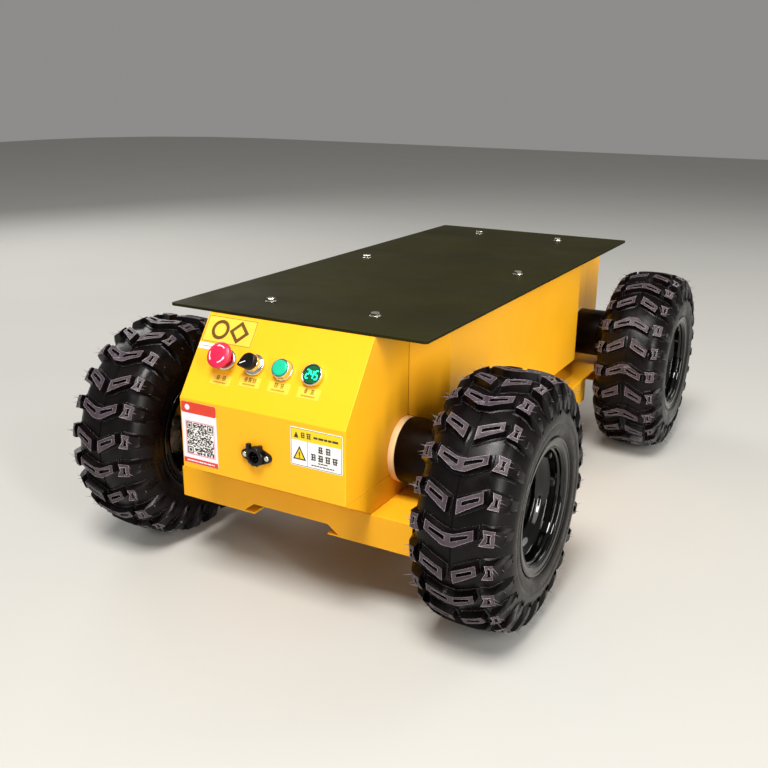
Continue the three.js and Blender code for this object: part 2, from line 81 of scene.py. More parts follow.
# -------------------- materials
def linear(hex_colour):
    channels = [int(hex_colour[i:i + 2], 16) / 255 for i in (0, 2, 4)]
    return [c / 12.92 if c <= 0.04045 else ((c + 0.055) / 1.055) ** 2.4 for c in channels]


class Finish:
    """A Principled material and the few node calls that its detail needs."""

    def __init__(self, name, colour, roughness, metallic=0.0, **sockets):
        self.material = bpy.data.materials.new(name)
        self.material.use_nodes = True
        self.tree = self.material.node_tree
        self.shader = self.tree.nodes["Principled BSDF"]
        self.colour = (*linear(colour), 1)
        self.fill(self.shader, Base_Color=self.colour, Roughness=roughness, Metallic=metallic, **sockets)
        self.place = self.node("TexCoord").outputs["Object"]

    def fill(self, node, **sockets):
        """Gives each named input of a node its value, or the output that feeds it."""
        for name, value in sockets.items():
            socket = node.inputs[name.replace("_", " ")]
            if isinstance(value, bpy.types.NodeSocket):
                self.tree.links.new(value, socket)
            else:
                socket.default_value = value
        return node

    def node(self, kind, **sockets):
        return self.fill(self.tree.nodes.new(f"ShaderNode{kind}"), **sockets)

    def stretched(self, scale):
        return self.node("Mapping", Scale=scale, Vector=self.place).outputs["Vector"]

    def noise(self, scale, detail, vector=None):
        node = self.node("TexNoise", Scale=scale, Detail=detail, Vector=vector or self.place)
        return node.outputs["Fac"]

    def cells(self, scale):
        return self.node("TexVoronoi", Scale=scale, Vector=self.place).outputs["Distance"]

    def spread(self, value, low, high, to_low=0.0, to_high=1.0):
        node = self.node("MapRange", Value=value, From_Min=low, From_Max=high, To_Min=to_low,
                         To_Max=to_high)
        return node.outputs[0]

    def tint(self, mask, colour, under=None):
        """Lays another colour over the base colour where mask is 1, and gives the result."""
        node = self.node("Mix")
        node.data_type = "RGBA"
        self.fill(node, Factor=mask, A=under or self.colour, B=(*linear(colour), 1))
        self.fill(self.shader, Base_Color=node.outputs["Result"])
        return node.outputs["Result"]

    def bump(self, height, depth, after=None):
        node = self.node("Bump", Distance=depth, Height=height)
        if after:
            self.fill(node, Normal=after)
        self.fill(self.shader, Normal=node.outputs["Normal"])
        return node.outputs["Normal"]

    def edges(self, radius):
        """1 near a sharp edge and 0 on the flats."""
        bevel = self.node("Bevel", Radius=radius)
        bevel.samples = 4
        dot = self.node("VectorMath")
        dot.operation = "DOT_PRODUCT"
        for source, socket in zip((bevel, self.node("NewGeometry")), dot.inputs):
            self.tree.links.new(source.outputs["Normal"], socket)
        return self.spread(dot.outputs["Value"], 0.98, 0.85)

    def stain(self, scale, detail, low, high, amount, colour, under=None):
        """Lays a colour over the patches where a noise rises from low to high."""
        return self.tint(self.spread(self.noise(scale, detail), low, high, 0, amount), colour, under)

    # Lays a colour along sharp edges: a painted highlight on the yellow paint and the tread tops, worn
    # paler edges on the deck.
    def edge_wear_and_highlight(self, radius, amount, colour, under):
        self.tint(self.spread(self.edges(radius), 0, 1, 0, amount), colour, under)

    def uneven(self, scale, detail, low, high):
        """Lets the roughness wander between two values."""
        self.fill(self.shader, Roughness=self.spread(self.noise(scale, detail), 0.3, 0.7, low, high))

    def grain(self, scale, detail, depth, after=None):
        return self.bump(self.noise(scale, detail), depth, after)


def yellow_paint():
    finish = Finish("yellow_enamel", "f5b01d", 0.38, Specular_IOR_Level=0.22)
    cloud = finish.stain(7, 4, 0.4, 0.7, 0.5, "f0a718")
    scuffed = finish.stain(260, 2, 0.70, 0.78, 0.3, "d98e1c", cloud)
    # painted highlight: a lighter yellow along the sharp edges
    finish.edge_wear_and_highlight(0.0012, 0.35, "ffc83c", scuffed)
    finish.uneven(22, 5, 0.34, 0.5)
    finish.grain(850, 2, 0.00005, finish.grain(60, 2, 0.00012))
    return finish.material


def deck_paint():
    finish = Finish("deck_enamel", "1e1c08", 0.6, Specular_IOR_Level=0.05)
    cloud = finish.stain(5, 5, 0.35, 0.7, 0.7, "272509")
    streak = finish.spread(finish.noise(4, 6, finish.stretched((60, 3, 60))), 0.66, 0.76, 0, 0.25)
    scuffed = finish.tint(streak, "33311a", cloud)
    dusty = finish.stain(420, 2, 0.70, 0.8, 0.5, "434128", scuffed)
    finish.edge_wear_and_highlight(0.001, 0.4, "4a483c", dusty)
    finish.uneven(14, 6, 0.5, 0.7)
    finish.grain(1400, 2, 0.00005)
    return finish.material


def carcass_rubber():
    finish = Finish("carcass_rubber", "070405", 0.34, Specular_IOR_Level=0.18)
    cloud = finish.stain(26, 5, 0.4, 0.72, 0.7, "130d0f")
    finish.stain(300, 3, 0.62, 0.76, 0.45, "261c1a", cloud)
    finish.uneven(40, 5, 0.2, 0.42)
    finish.grain(700, 4, 0.00016)
    return finish.material


# The tread tops are a lighter lilac-grey copy of the dark carcass rubber: painted sheen where the tops
# face the light.
def painted_sheen_tread_rubber():
    finish = Finish("painted_sheen_tread_rubber", "30252c", 0.44, Specular_IOR_Level=0.4)
    cloud = finish.stain(60, 5, 0.35, 0.7, 0.8, "463b43")
    speckled = finish.stain(480, 3, 0.6, 0.74, 0.6, "685c64", cloud)
    # painted highlight: pale lines along the block edges
    finish.edge_wear_and_highlight(0.0009, 0.9, "c4b8bf", speckled)
    finish.uneven(90, 4, 0.38, 0.62)
    finish.grain(900, 3, 0.00014)
    return finish.material


def enamel(name, colour, roughness, specular, stain, gloss, grain):
    """Plain paint with one layer of stains."""
    finish = Finish(name, colour, roughness, Specular_IOR_Level=specular)
    finish.stain(*stain)
    finish.uneven(*gloss)
    finish.grain(*grain)
    return finish.material


def turned_steel(name, colour, roughness, scale):
    """Bare metal with the fine rings that a lathe leaves."""
    finish = Finish(name, colour, roughness, 1.0)
    finish.stain(90, 4, 0.4, 0.75, 0.5, "8f8b84")
    finish.uneven(140, 4, roughness - 0.07, roughness + 0.1)
    finish.bump(finish.noise(12, 3, finish.stretched(scale)), 0.00005)
    return finish.material


def moulded(name, colour, second, roughness, bump_scale=900, **sockets):
    """Moulded plastic or printed film: a slightly uneven colour and a fine skin."""
    finish = Finish(name, colour, roughness, **sockets)
    finish.stain(70, 4, 0.4, 0.75, 0.5, second)
    finish.uneven(110, 3, roughness - 0.06, roughness + 0.1)
    finish.grain(bump_scale, 2, 0.00004)
    return finish.material


def cast_alloy():
    finish = Finish("cast_alloy", "a2a5a8", 0.42, 0.85)
    finish.stain(120, 5, 0.4, 0.7, 0.6, "7c7f83")
    finish.bump(finish.cells(420), 0.0001)
    return finish.material


def glowing(name, colour, strength):
    finish = Finish(name, colour, 0.3)
    finish.stain(300, 2, 0.4, 0.7, 0.5, "1fe0a8")
    finish.fill(finish.shader, Emission_Color=finish.colour, Emission_Strength=strength)
    return finish.material


YELLOW = yellow_paint()
DECK = deck_paint()
CARCASS = carcass_rubber()
PAINTED_SHEEN_TREAD = painted_sheen_tread_rubber()
VENT_HAIR = moulded("vent_hair", "6d6468", "847b7e", 0.4)
RIM = enamel("rim_gloss_black", "020202", 0.07, 0.45, (220, 3, 0.66, 0.8, 0.25, "171412"),
             (30, 4, 0.04, 0.1), (240, 2, 0.00004))
DRIVE = enamel("drive_semi_gloss", "080202", 0.34, 0.1, (36, 5, 0.5, 0.75, 0.5, "140706"),
               (70, 4, 0.26, 0.42), (520, 3, 0.00007))
CREAM = enamel("ring_cream", "ecc898", 0.36, 0.4, (50, 4, 0.45, 0.75, 0.6, "d9a874"),
               (40, 3, 0.3, 0.46), (600, 2, 0.00005))
STEEL = turned_steel("machined_steel", "c4c1ba", 0.3, (900, 40, 40))
BOLT_STEEL = turned_steel("zinc_plate", "e6e2d6", 0.22, (40, 40, 900))
CHROME = turned_steel("satin_chrome", "f2eee6", 0.14, (300, 300, 300))
RED = moulded("red_moulding", "cf1f45", "bd173b", 0.34, Specular_IOR_Level=0.4)
GREEN = moulded("green_moulding", "12b58c", "0ea27c", 0.32)
BLACK = moulded("black_moulding", "0b090a", "141112", 0.26, Specular_IOR_Level=0.3)
LENS_DARK = moulded("dark_green_lens", "0c4a26", "0b6a34", 0.18, Coat_Weight=0.5, Coat_Roughness=0.05)
WHITE_PRINT = moulded("white_print", "f4f1ee", "e9e4e2", 0.42)
PINK_PRINT = moulded("label_film", "f6e4ee", "f1dbe8", 0.36)
RED_PRINT = moulded("red_print", "d2402c", "c63725", 0.42, Specular_IOR_Level=0.3)
BLACK_PRINT = moulded("black_print", "2b2724", "3a3531", 0.5)
BROWN_PRINT = moulded("brown_print", "5a3f0c", "684a10", 0.45)
YELLOW_PRINT = moulded("yellow_print", "ecc90f", "e0ba10", 0.38)
PALE_FILM = moulded("pale_yellow_film", "fac040", "f6b834", 0.3)
OLIVE_PRINT = moulded("olive_print", "76640f", "6a590c", 0.45)
FAINT_PRINT = moulded("faint_print", "a98a22", "9a7d20", 0.45)
BATTERY = moulded("battery_case", "27457e", "1f3869", 0.45, 500)
ALLOY = cast_alloy()
LIT = glowing("lit_segments", "22e0b4", 1.3)


# -------------------- mesh helpers
SHARP = math.radians(32)


def finished(name, bm):
    """Turns a bmesh into a mesh whose faces all point outward."""
    mesh = bpy.data.meshes.new(name)
    bmesh.ops.recalc_face_normals(bm, faces=bm.faces)
    bm.to_mesh(mesh)
    bm.free()
    return mesh


def placed(name, data, at=None):
    """Puts a mesh, a light or a camera into the scene."""
    obj = bpy.data.objects.new(name, data)
    bpy.context.scene.collection.objects.link(obj)
    obj.matrix_world = at or Matrix.Identity(4)
    return obj


def piece(name, bm, materials, body, at=None, sharp=SHARP):
    """Turns a bmesh into a shown piece that rides on a body and takes the given materials."""
    return shown(name, finished(name, bm), materials, body, at, sharp)


def shown(name, mesh, materials, body, at, sharp=SHARP):
    if not mesh.materials:
        for material in materials:
            mesh.materials.append(material)
        mesh.shade_smooth()
        mesh.set_sharp_from_angle(angle=sharp)
    obj = placed(name, mesh, at)
    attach(obj, body)
    return obj


def flat_faced(obj):
    """Keeps large flat faces flat in shading, next to their small rounded edges."""
    modifier = obj.modifiers.new("flat faces", "WEIGHTED_NORMAL")
    modifier.mode = "FACE_AREA"
    modifier.weight = 100
    modifier.keep_sharp = True
    return obj


def scaled(points):
    """Millimetres to metres."""
    return [(a * MM, b * MM) for a, b in points]


def eased(points, radius, closed=False):
    """Rounds the corners of an outline to about that radius."""
    result = []
    steps = 3
    count = len(points)
    for i, point in enumerate(points):
        here = Vector(point)
        ends = not closed and i in (0, count - 1)
        before = Vector(points[i - 1])
        after = Vector(points[(i + 1) % count])
        to_before = before - here
        to_after = after - here
        turn = 0 if ends else to_before.angle(-to_after, 0)
        if turn < math.radians(12):
            result.append(here)
            continue
        reach = min(radius, 0.45 * to_before.length, 0.45 * to_after.length)
        start = here + to_before.normalized() * reach
        finish = here + to_after.normalized() * reach
        for step in range(steps + 1):
            t = step / steps
            result.append(start * (1 - t) ** 2 + here * 2 * t * (1 - t) + finish * t * t)
    return result


def lathe(bm, profile, segments=96, closed=False, material=0):
    """Turns (along, radius) points about local X. An open profile starts and ends on the axis."""
    rings = []
    for along, radius in profile:
        if radius < 1e-7:
            rings.append([bm.verts.new((along, 0, 0))])
            continue
        ring = []
        for i in range(segments):
            angle = 2 * math.pi * i / segments
            ring.append(bm.verts.new((along, radius * math.cos(angle), radius * math.sin(angle))))
        rings.append(ring)
    pairs = list(zip(rings, rings[1:]))
    if closed:
        pairs.append((rings[-1], rings[0]))
    for a, b in pairs:
        for i in range(segments):
            j = (i + 1) % segments
            corners = [a[i % len(a)], a[j % len(a)], b[j % len(b)], b[i % len(b)]]
            corners = list(dict.fromkeys(corners))
            bm.faces.new(corners).material_index = material


def skinned(bm, loops, material=0):
    """Joins each loop of vertices to the next and closes the first and the last."""
    count = len(loops[0])
    for a, b in zip(loops, loops[1:]):
        for i in range(count):
            j = (i + 1) % count
            bm.faces.new((a[i], a[j], b[j], b[i])).material_index = material
    for end in (loops[0][::-1], loops[-1]):
        bm.faces.new(end).material_index = material


def swept(bm, outline, start, end, material=0, chamfer=0.0):
    """An outline in local X, Y swept along local Z, with a small chamfer at its upper end."""
    centre = sum((Vector(p) for p in outline), Vector((0, 0))) / len(outline)
    levels = [(start, 0.0), (end - chamfer, 0.0)]
    if chamfer:
        levels.append((end, chamfer))
    loops = []
    for height, inset in levels:
        loop = []
        for p in outline:
            out = Vector(p) - centre
            shrunk = centre + out * max(0.0, 1 - inset / max(out.length, 1e-6))
            loop.append(bm.verts.new((shrunk.x, shrunk.y, height)))
        loops.append(loop)
    skinned(bm, loops, material)


def arc(radius, start, end, steps, centre=(0, 0)):
    """Points on a circle from one angle to another, both included."""
    angles = [start + (end - start) * i / steps for i in range(steps + 1)]
    return [(centre[0] + radius * math.cos(a), centre[1] + radius * math.sin(a)) for a in angles]


def disc(radius, steps, centre=(0, 0)):
    """Evenly spaced points round a circle, the first of them towards local X."""
    return arc(radius, 0, 2 * math.pi, steps, centre)[:steps]


def rectangle(x0, x1, y0, y1):
    return [(x0, y0), (x1, y0), (x1, y1), (x0, y1)]


def rounded_rectangle(x0, x1, y0, y1, radius):
    quarter = math.pi / 2
    points = []
    for k, (x, y) in enumerate([(x1 - radius, y1 - radius), (x0 + radius, y1 - radius),
                                (x0 + radius, y0 + radius), (x1 - radius, y0 + radius)]):
        points += arc(radius, k * quarter, (k + 1) * quarter, 4, (x, y))
    return points


def about_z(bm):
    """Turns a lathe made about local X so that its axis is local Z."""
    bmesh.ops.transform(bm, matrix=Matrix.Rotation(-math.pi / 2, 4, "Y"), verts=bm.verts)


# -------------------- folded sheet body
SMALLEST_FOLD = 0.03


def softened(node, fold, edge=0.0004):
    """A copy of a CAD node with flat faces made whole, its long folds rounded and its cut edges eased."""
    bm = bmesh.new()
    bm.from_mesh(frame["nodes"][node].data)
    bmesh.ops.remove_doubles(bm, verts=bm.verts, dist=1e-6)
    bmesh.ops.dissolve_limit(bm, angle_limit=math.radians(1), verts=bm.verts, edges=bm.edges)

    def corners(least):
        return [e for e in bm.edges if len(e.link_faces) == 2 and e.calc_face_angle() > least]

    if fold:
        folds = [e for e in corners(math.radians(20)) if is_fold(e)]
        bmesh.ops.bevel(bm, geom=folds, offset=fold, segments=4, profile=0.5, affect="EDGES",
                        clamp_overlap=True)
    bmesh.ops.bevel(bm, geom=corners(math.radians(40)), offset=edge, segments=1, affect="EDGES",
                    clamp_overlap=True)
    bmesh.ops.triangulate(bm, faces=[f for f in bm.faces if len(f.verts) > 4])
    return bm


def is_fold(edge):
    """An outer bend between two wide faces, and not the cut edge of the sheet."""
    narrowest = min(width_from(face, edge) for face in edge.link_faces)
    return edge.is_convex and min(narrowest, edge.calc_length()) > SMALLEST_FOLD


def width_from(face, edge):
    """How far a face reaches from one of its edges."""
    a, b = (v.co for v in edge.verts)
    along = (b - a).normalized()
    reach = 0
    for vert in face.verts:
        away = vert.co - a
        reach = max(reach, (away - along * away.dot(along)).length)
    return reach


def body_shell():
    for node, fold in [("front_hood", 0.0022), ("rear_cover", 0.0022), ("side_wall_left", 0.0022),
                       ("side_wall_right", 0.0022), ("base_tray", 0.0018), ("base_curb", 0.0018),
                       ("rear_deck_bar", 0.0)]:
        obj = piece(f"{node}_sheet", softened(node, fold), [YELLOW], "chassis")
        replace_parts(flat_faced(obj), node)
    deck = piece("deck_plate_sheet", softened("deck_plate", 0.0, 0.0006), [DECK], "chassis")
    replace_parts(flat_faced(deck), "deck_plate")


def deck_bolts():
    """A washer with a hexagon head on it, and the shank below."""
    low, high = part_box("deck_bolt_1")
    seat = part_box("deck_plate")[1].z
    washer_top = 0.0014
    foot = low.z - seat
    bm = bmesh.new()
    lathe(bm, eased([(0, 0), (0, 0.0082), (washer_top, 0.0082), (washer_top, 0)], 0.0003), 40)
    lathe(bm, [(foot, 0), (foot, 0.0039), (0.001, 0.0039), (0.001, 0)], 24)
    about_z(bm)
    hexagon = arc(0.0066, math.pi / 12, 2 * math.pi + math.pi / 12, 6)[:6]
    swept(bm, hexagon, washer_top, high.z - seat, chamfer=0.0006)
    mesh = finished("deck_bolt", bm)
    for i in range(1, 7):
        low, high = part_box(f"deck_bolt_{i}")
        middle = (low + high) / 2
        at = Matrix.Translation((middle.x, middle.y, seat)) @ Matrix.Rotation(0.4 * i, 4, "Z")
        obj = shown(f"deck_bolt_{i}_hex", mesh, [BOLT_STEEL], "chassis", at)
        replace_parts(obj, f"deck_bolt_{i}")


# -------------------- tyres
# Outlines on the tread are (across, along) in mm: across is the distance from the centre plane over
# the tread and its shoulder, and along runs towards the front of the wheel. TOP and BASE give a
# cross-section as (across, x, radius), and SIDEWALL and LINING give it as (x, radius).
ROWS = 24
FIRST_ROW = math.radians(53.7)
TOP = [(0, 0, 175), (20, 20, 174.5), (32, 32, 173.2), (40, 40, 171.5), (48, 47.5, 168.8), (57, 55, 164),
       (62, 58, 158.5), (70, 61.8, 150.5), (78, 64.6, 141), (86, 65.6, 131), (92, 65.4, 126)]
BASE = [(0, 0, 164.5), (20, 20, 164), (39, 39, 160.5), (47.5, 47.5, 156), (53, 53, 149.5),
        (57.5, 57, 143), (64, 61, 134), (72, 63.6, 128), (84, 64.6, 124), (92, 65, 121)]
SIDEWALL = [(65.4, 118), (65.4, 115), (64.6, 112), (65.0, 110.5), (64.2, 106), (64.4, 104.5), (63, 99),
            (60.8, 95), (59.5, 93.4), (58.9, 90), (58.7, 79), (46, 77.8)]
CHEVRON = [(0, -4.6), (7, -4.9), (31, -14.9), (32, -2.7), (7.5, 11.6), (0, 11.9)]
CHEVRON_SLOT = [(4, -0.6), (4, 5.5), (25.5, -3.7), (25.5, -7.9)]
ARM = [(6, -1.2), (35.5, -15.9), (37.5, -2.7), (7, 16.8)]
ARM_SLOT = [(12, 0.6), (12, 5.8), (32, -4), (32, -8.8)]
LUG_EDGE = [(42, -17.5), (44, -8), (38.6, 3)]
LUG_END = [(-16.5, 4), (-15.9, 3.5), (-15.5, 3.1), (-14, 2.2), (-13.4, 1.7), (-12.2, 0.4), (-10.8, -1.2)]
LUG_STATIONS = [57, 60.5, 63, 70, 72.5, 79, 86]
FLANK_POCKET = {63: 2.8, 70: 2.8}  # how far the middle of the flank is sunk at a station
LUG_RECESS = [(46.9, -12), (52.9, -12), (51.5, -9.4), (51.5, -3.2), (52.9, -0.6), (46.1, -0.6),
              (47.9, -3.2), (47.9, -9.4)]
LINING = [(40, 80), (52, 100), (54, 128), (44, 148), (22, 154), (0, 155)]
PLINTH = 2.6  # the low step round the foot of each block
BLOCK_FOOT = [(1.3, -1.9), (1.3 + PLINTH, -1.5), (1.6 + PLINTH, 1.0)]  # how far grown, how far sunk
SLOT_TAPER = 0.8
ARM_SHIFT = 4.5  # how much farther out the lugs sit in every second row
SEAM_X = 0.4  # the two fine ribs where the halves of the mould meet
PHASE = {"front_left": 0, "front_right": 13, "rear_left": 13, "rear_right": 21}  # degrees turned at rest
TREAD_SHARP = math.radians(28)
LONGEST_SIDE = 7.0
HAIR_R = 0.0005
HAIR_HALF_X = 0.0657  # how far from the centre plane a vent hair may reach


def along_curve(curve, across):
    """The (x, radius) of a cross-section curve at a distance across the tread, in mm."""
    across = min(across, curve[-1][0])
    for (s0, x0, r0), (s1, x1, r1) in zip(curve, curve[1:]):
        if across <= s1:
            t = (across - s0) / (s1 - s0)
            return x0 + (x1 - x0) * t, r0 + (r1 - r0) * t
    return curve[-1][1:]


def on_tread(across, along, row_angle, side, curve, sink):
    """A point across and along the tread, sunk below a cross-section curve."""
    x, radius = along_curve(curve, across)
    angle = row_angle + along / (TYRE_R / MM)
    radius -= sink
    return Vector((side * x, -radius * math.sin(angle), radius * math.cos(angle))) * MM


def sampled(loop):
    """The loop with extra points on its long sides, so that it follows the curved tread."""
    result = []
    for a, b in zip(loop, loop[1:] + loop[:1]):
        parts = max(1, math.ceil(math.dist(a, b) / LONGEST_SIDE))
        for i in range(parts):
            result.append((a[0] + (b[0] - a[0]) * i / parts, a[1] + (b[1] - a[1]) * i / parts))
    return result


def draft(loop, amount):
    """The loop grown outward, for a block's wider foot."""
    area = sum(a[0] * b[1] - b[0] * a[1] for a, b in zip(loop, loop[1:] + loop[:1]))
    turn = 1 if area > 0 else -1
    grown = []
    for before, here, after in zip(loop[-1:] + loop[:-1], loop, loop[1:] + loop[:1]):
        d1 = (Vector(here) - Vector(before)).normalized()
        d2 = (Vector(after) - Vector(here)).normalized()
        mean = (d1 + d2).normalized() if (d1 + d2).length > 1e-6 else d1
        normal = Vector((mean.y, -mean.x)) * turn
        stretch = 1 / max(0.6, mean.dot(d1))
        grown.append((here[0] + normal.x * amount * stretch, here[1] + normal.y * amount * stretch))
    return grown


def block(bm, outline, slot, place, slot_depth, open_sides=()):
    """A tread block with a sunken slot, open where it meets its mirror image; gives its upper edges."""
    outer = sampled(outline)
    inner = sampled(slot)
    loops = [[bm.verts.new(place(p, TOP, 0)) for p in loop] for loop in (outer, inner)]
    flat = [[Vector((p[0], p[1], 0)) for p in loop] for loop in (outer, inner)]
    verts = loops[0] + loops[1]
    rim_edges = []
    # the top faces take the tread-top rubber, whose lighter colour is painted sheen
    for tri in tessellate_polygon(flat):
        bm.faces.new([verts[i] for i in tri]).material_index = 1
    feet = []
    for grown, sink in BLOCK_FOOT:
        spread = [(max(0, x), y) for x, y in draft(outer, grown)]
        feet.append([bm.verts.new(place(p, BASE, sink)) for p in spread])
    floor = [bm.verts.new(place(p, TOP, slot_depth)) for p in draft(inner, -SLOT_TAPER)]
    for high, low in ((loops[0], feet[0]), (feet[0], feet[1]), (feet[1], feet[2]), (loops[1], floor)):
        count = len(high)
        for i in range(count):
            j = (i + 1) % count
            if high is not loops[1] and i in open_sides:
                continue
            bm.faces.new((high[i], high[j], low[j], low[i])).material_index = 0
            if high is not feet[0]:
                rim_edges.append(bm.edges.get((high[i], high[j])))
    bm.faces.new(floor).material_index = 0
    return [edge for edge in rim_edges if edge]


def lug(bm, shift, place):
    """A shoulder lug: a notched top with a waisted recess, and a narrowing flank down the sidewall."""
    top = [(s + shift, t) for s, t in LUG_EDGE] + [(57, LUG_END[0][1]), (57, LUG_END[0][0])]
    recess = [(s + shift * 0.6, t) for s, t in LUG_RECESS]
    edges = block(bm, top, recess, place, 3.2)
    rows = []
    for station, (t0, t1) in zip(LUG_STATIONS, LUG_END):
        along = [t0 + (t1 - t0) * share for share in (0, 0.2, 0.8, 1)]
        pocket = FLANK_POCKET.get(station, 0)
        sinks = (0, pocket, pocket, 0)
        rows.append([bm.verts.new(place((station, t), TOP, sink)) for t, sink in zip(along, sinks)])
        for t, out in ((t0, -1.6), (t1, 1.6)):
            rows[-1].insert(0 if out < 0 else 5, bm.verts.new(place((station, t + out), BASE, 1.0)))
    for a, b in zip(rows, rows[1:]):
        for i in range(5):
            bm.faces.new((a[i], a[i + 1], b[i + 1], b[i])).material_index = 0
    return edges


def spew_hairs(bm, rng, place, side, shift):
    """Fine rubber hairs that the mould's vents leave on the shoulder."""
    for across in (31, 47 + shift, 56, 57, 70):
        along = rng.uniform(-15, 3)
        root = place((across, along), TOP, 0.3)
        sideways = Vector((side, 0, 0))
        radial = Vector((0, root.y, root.z)).normalized()
        lean = Vector((0, rng.uniform(-0.35, 0.35), rng.uniform(-0.35, 0.35)))
        direction = (radial * 0.35 + sideways * 0.9 + lean).normalized()
        room = (HAIR_HALF_X - abs(root.x)) / abs(direction.x)
        tip = root + direction * min(rng.uniform(7, 13) * MM, room)
        if Vector((0, tip.y, tip.z)).length > TYRE_R - HAIR_R:
            continue
        aside = direction.orthogonal().normalized() * HAIR_R
        base = [root + Matrix.Rotation(2 * math.pi * k / 3, 3, direction) @ aside for k in range(3)]
        corners = [bm.verts.new(p) for p in base] + [bm.verts.new(tip)]
        for i, j, k in ((0, 1, 3), (1, 2, 3), (2, 0, 3), (2, 1, 0)):
            bm.faces.new((corners[i], corners[j], corners[k])).material_index = 2


def tyre_mesh():
    bm = bmesh.new()
    section = [(x, r) for _, x, r in BASE] + SIDEWALL + LINING
    whole = section + [(-x, r) for x, r in reversed(section) if x > 0]
    lathe(bm, scaled(whole), 144, closed=True)
    for x in (-SEAM_X, SEAM_X):
        seam = [(x - 0.25, 164), (x, 165.2), (x + 0.25, 164)]
        lathe(bm, scaled(seam), 96, closed=True)
    rng = random.Random(7)
    edges = []
    for row in range(ROWS):
        angle = FIRST_ROW + row * 2 * math.pi / ROWS
        joined = row % 2 == 0
        for side in (1, -1):
            def place(p, curve, sink, side=side, angle=angle):
                return on_tread(p[0], p[1], angle, side, curve, sink)

            shape, hole = (CHEVRON, CHEVRON_SLOT) if joined else (ARM, ARM_SLOT)
            shift = 0 if joined else ARM_SHIFT
            middle = [i for i, p in enumerate(sampled(shape)) if p[0] < 0.01]
            hidden = set(middle[1:]) if joined else ()
            edges += block(bm, shape, hole, place, 4.0, hidden)
            edges += lug(bm, shift, place)
            spew_hairs(bm, rng, place, side, shift)
    bmesh.ops.remove_doubles(bm, verts=bm.verts, dist=1e-6)
    live = [edge for edge in edges if edge.is_valid and len(edge.link_faces) == 2]
    # the bevel strips take the tread-top rubber: a painted highlight along every block edge
    bmesh.ops.bevel(bm, geom=live, offset=0.0006, segments=2, profile=0.5, affect="EDGES", material=1,
                    clamp_overlap=True)
    return finished("tyre", bm)


def tyres():
    mesh = tyre_mesh()
    for corner in CORNERS:
        turn = 0 if corner.startswith("front") else math.pi
        at = Matrix.Translation(WHEEL_AXLE[corner]) @ Matrix.Rotation(turn, 4, "Z")
        rolled = mesh.copy()
        rolled.transform(Matrix.Rotation(math.radians(PHASE[corner]), 4, "X"))
        obj = shown(f"tread_tyre_{corner}", rolled, [CARCASS, PAINTED_SHEEN_TREAD, VENT_HAIR],
                    f"wheel_{corner}", at, TREAD_SHARP)
        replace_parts(obj, f"tyre_{corner}")


# -------------------- rims, hubs and drives
# turns local Z along the axle
ALONG_X = Matrix(((0, 0, 1, 0), (1, 0, 0, 0), (0, 1, 0, 0), (0, 0, 0, 1)))
SPINDLE_R = 0.0123
FLANGE_R = 0.050
FLANGE_BACK = 0.020  # from the end of the hub
NUT_CIRCLE_R = 0.0485
WEB_FACE, WASHER_TOP, NUT_TOP, STUD_TOP = 0.0041, 0.0050, 0.0100, 0.0130  # out from the wheel's middle
GEAR = {"teeth": 20, "module": 0.0025, "start": 0.218, "end": 0.236}
VALVE_R = 0.0675
VALVE_TURN = math.radians(-20)
SPIGOT_R = 0.040  # the neck that passes through the wall, inside the ring
WHEEL_LOBE_R = 0.0325
PINION_LOBE_R = 0.023
PLATE_THICKNESS = 0.005
PLATE_SCREW_CIRCLE_R = 0.040
GROOVE_DEPTH = 0.0009


def outward_span(node):
    """How near and how far a node's box lies from the robot's centre plane."""
    low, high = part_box(node)
    return sorted((abs(low.x), abs(high.x)))


def half_size(node, axis):
    low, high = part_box(node)
    return (high[axis] - low[axis]) / 2


def outward(corner):
    """A wheel's frame, with local X along the axle and away from the body."""
    turn = 0 if corner.endswith("left") else math.pi
    return Matrix.Rotation(turn, 4, "Z")


def rim_mesh():
    """A pressed and welded steel rim: rolled lips, stepped bead seats, a drop well and a web."""
    outer = [(-62, 90), (-61.6, 93), (-59.8, 93.4), (-58.9, 91), (-58.4, 78.5), (-55, 77), (-40, 77),
             (-31, 61), (27, 61), (36, 77), (55, 77), (58.4, 78.5), (58.9, 91), (59.8, 93.4), (61.6, 93),
             (62, 90)]
    inner = [(60.6, 88.6), (60.2, 83), (57.5, 79.6), (53, 78.2), (52, 74.6), (47, 73.8), (39, 73.4),
             (36.8, 70.6), (33.5, 65.6), (28.5, 62.4), (25.5, 58.4), (15, 57.6), (7, 57), (4, 55.4),
             (4, 42), (0, 42), (0, 55.4), (-3, 58), (-30, 58), (-38, 72), (-55, 74), (-60.4, 83)]
    bm = bmesh.new()
    lathe(bm, scaled(eased(outer + inner, 1.6, closed=True)), 128, closed=True)
    return finished("rim", bm)


def wheel_nuts(corner, at):
    bm = bmesh.new()
    for centre in disc(NUT_CIRCLE_R, 6):
        swept(bm, disc(0.0056, 28, centre), WEB_FACE, WASHER_TOP)
        swept(bm, disc(0.0052, 6, centre), WASHER_TOP, NUT_TOP, chamfer=0.0008)
        swept(bm, disc(0.0028, 16, centre), NUT_TOP, STUD_TOP, chamfer=0.0005)
    turned = at @ Matrix.Rotation(math.pi / 2, 4, "Y")
    return piece(f"wheel_nuts_{corner}", bm, [STEEL], f"wheel_{corner}", turned)


def valve(corner, at):
    bm = bmesh.new()
    stem = eased([(0.0285, 0.0), (0.0285, 0.0052), (0.034, 0.0044), (0.046, 0.0034), (0.0465, 0.0041),
                  (0.0545, 0.0041), (0.0555, 0.0034), (0.0555, 0.0)], 0.0006)
    lathe(bm, stem, 24)
    place = at @ Matrix.Rotation(VALVE_TURN, 4, "X") @ Matrix.Translation((0, 0, VALVE_R))
    return piece(f"valve_{corner}", bm, [BLACK], f"wheel_{corner}", place)


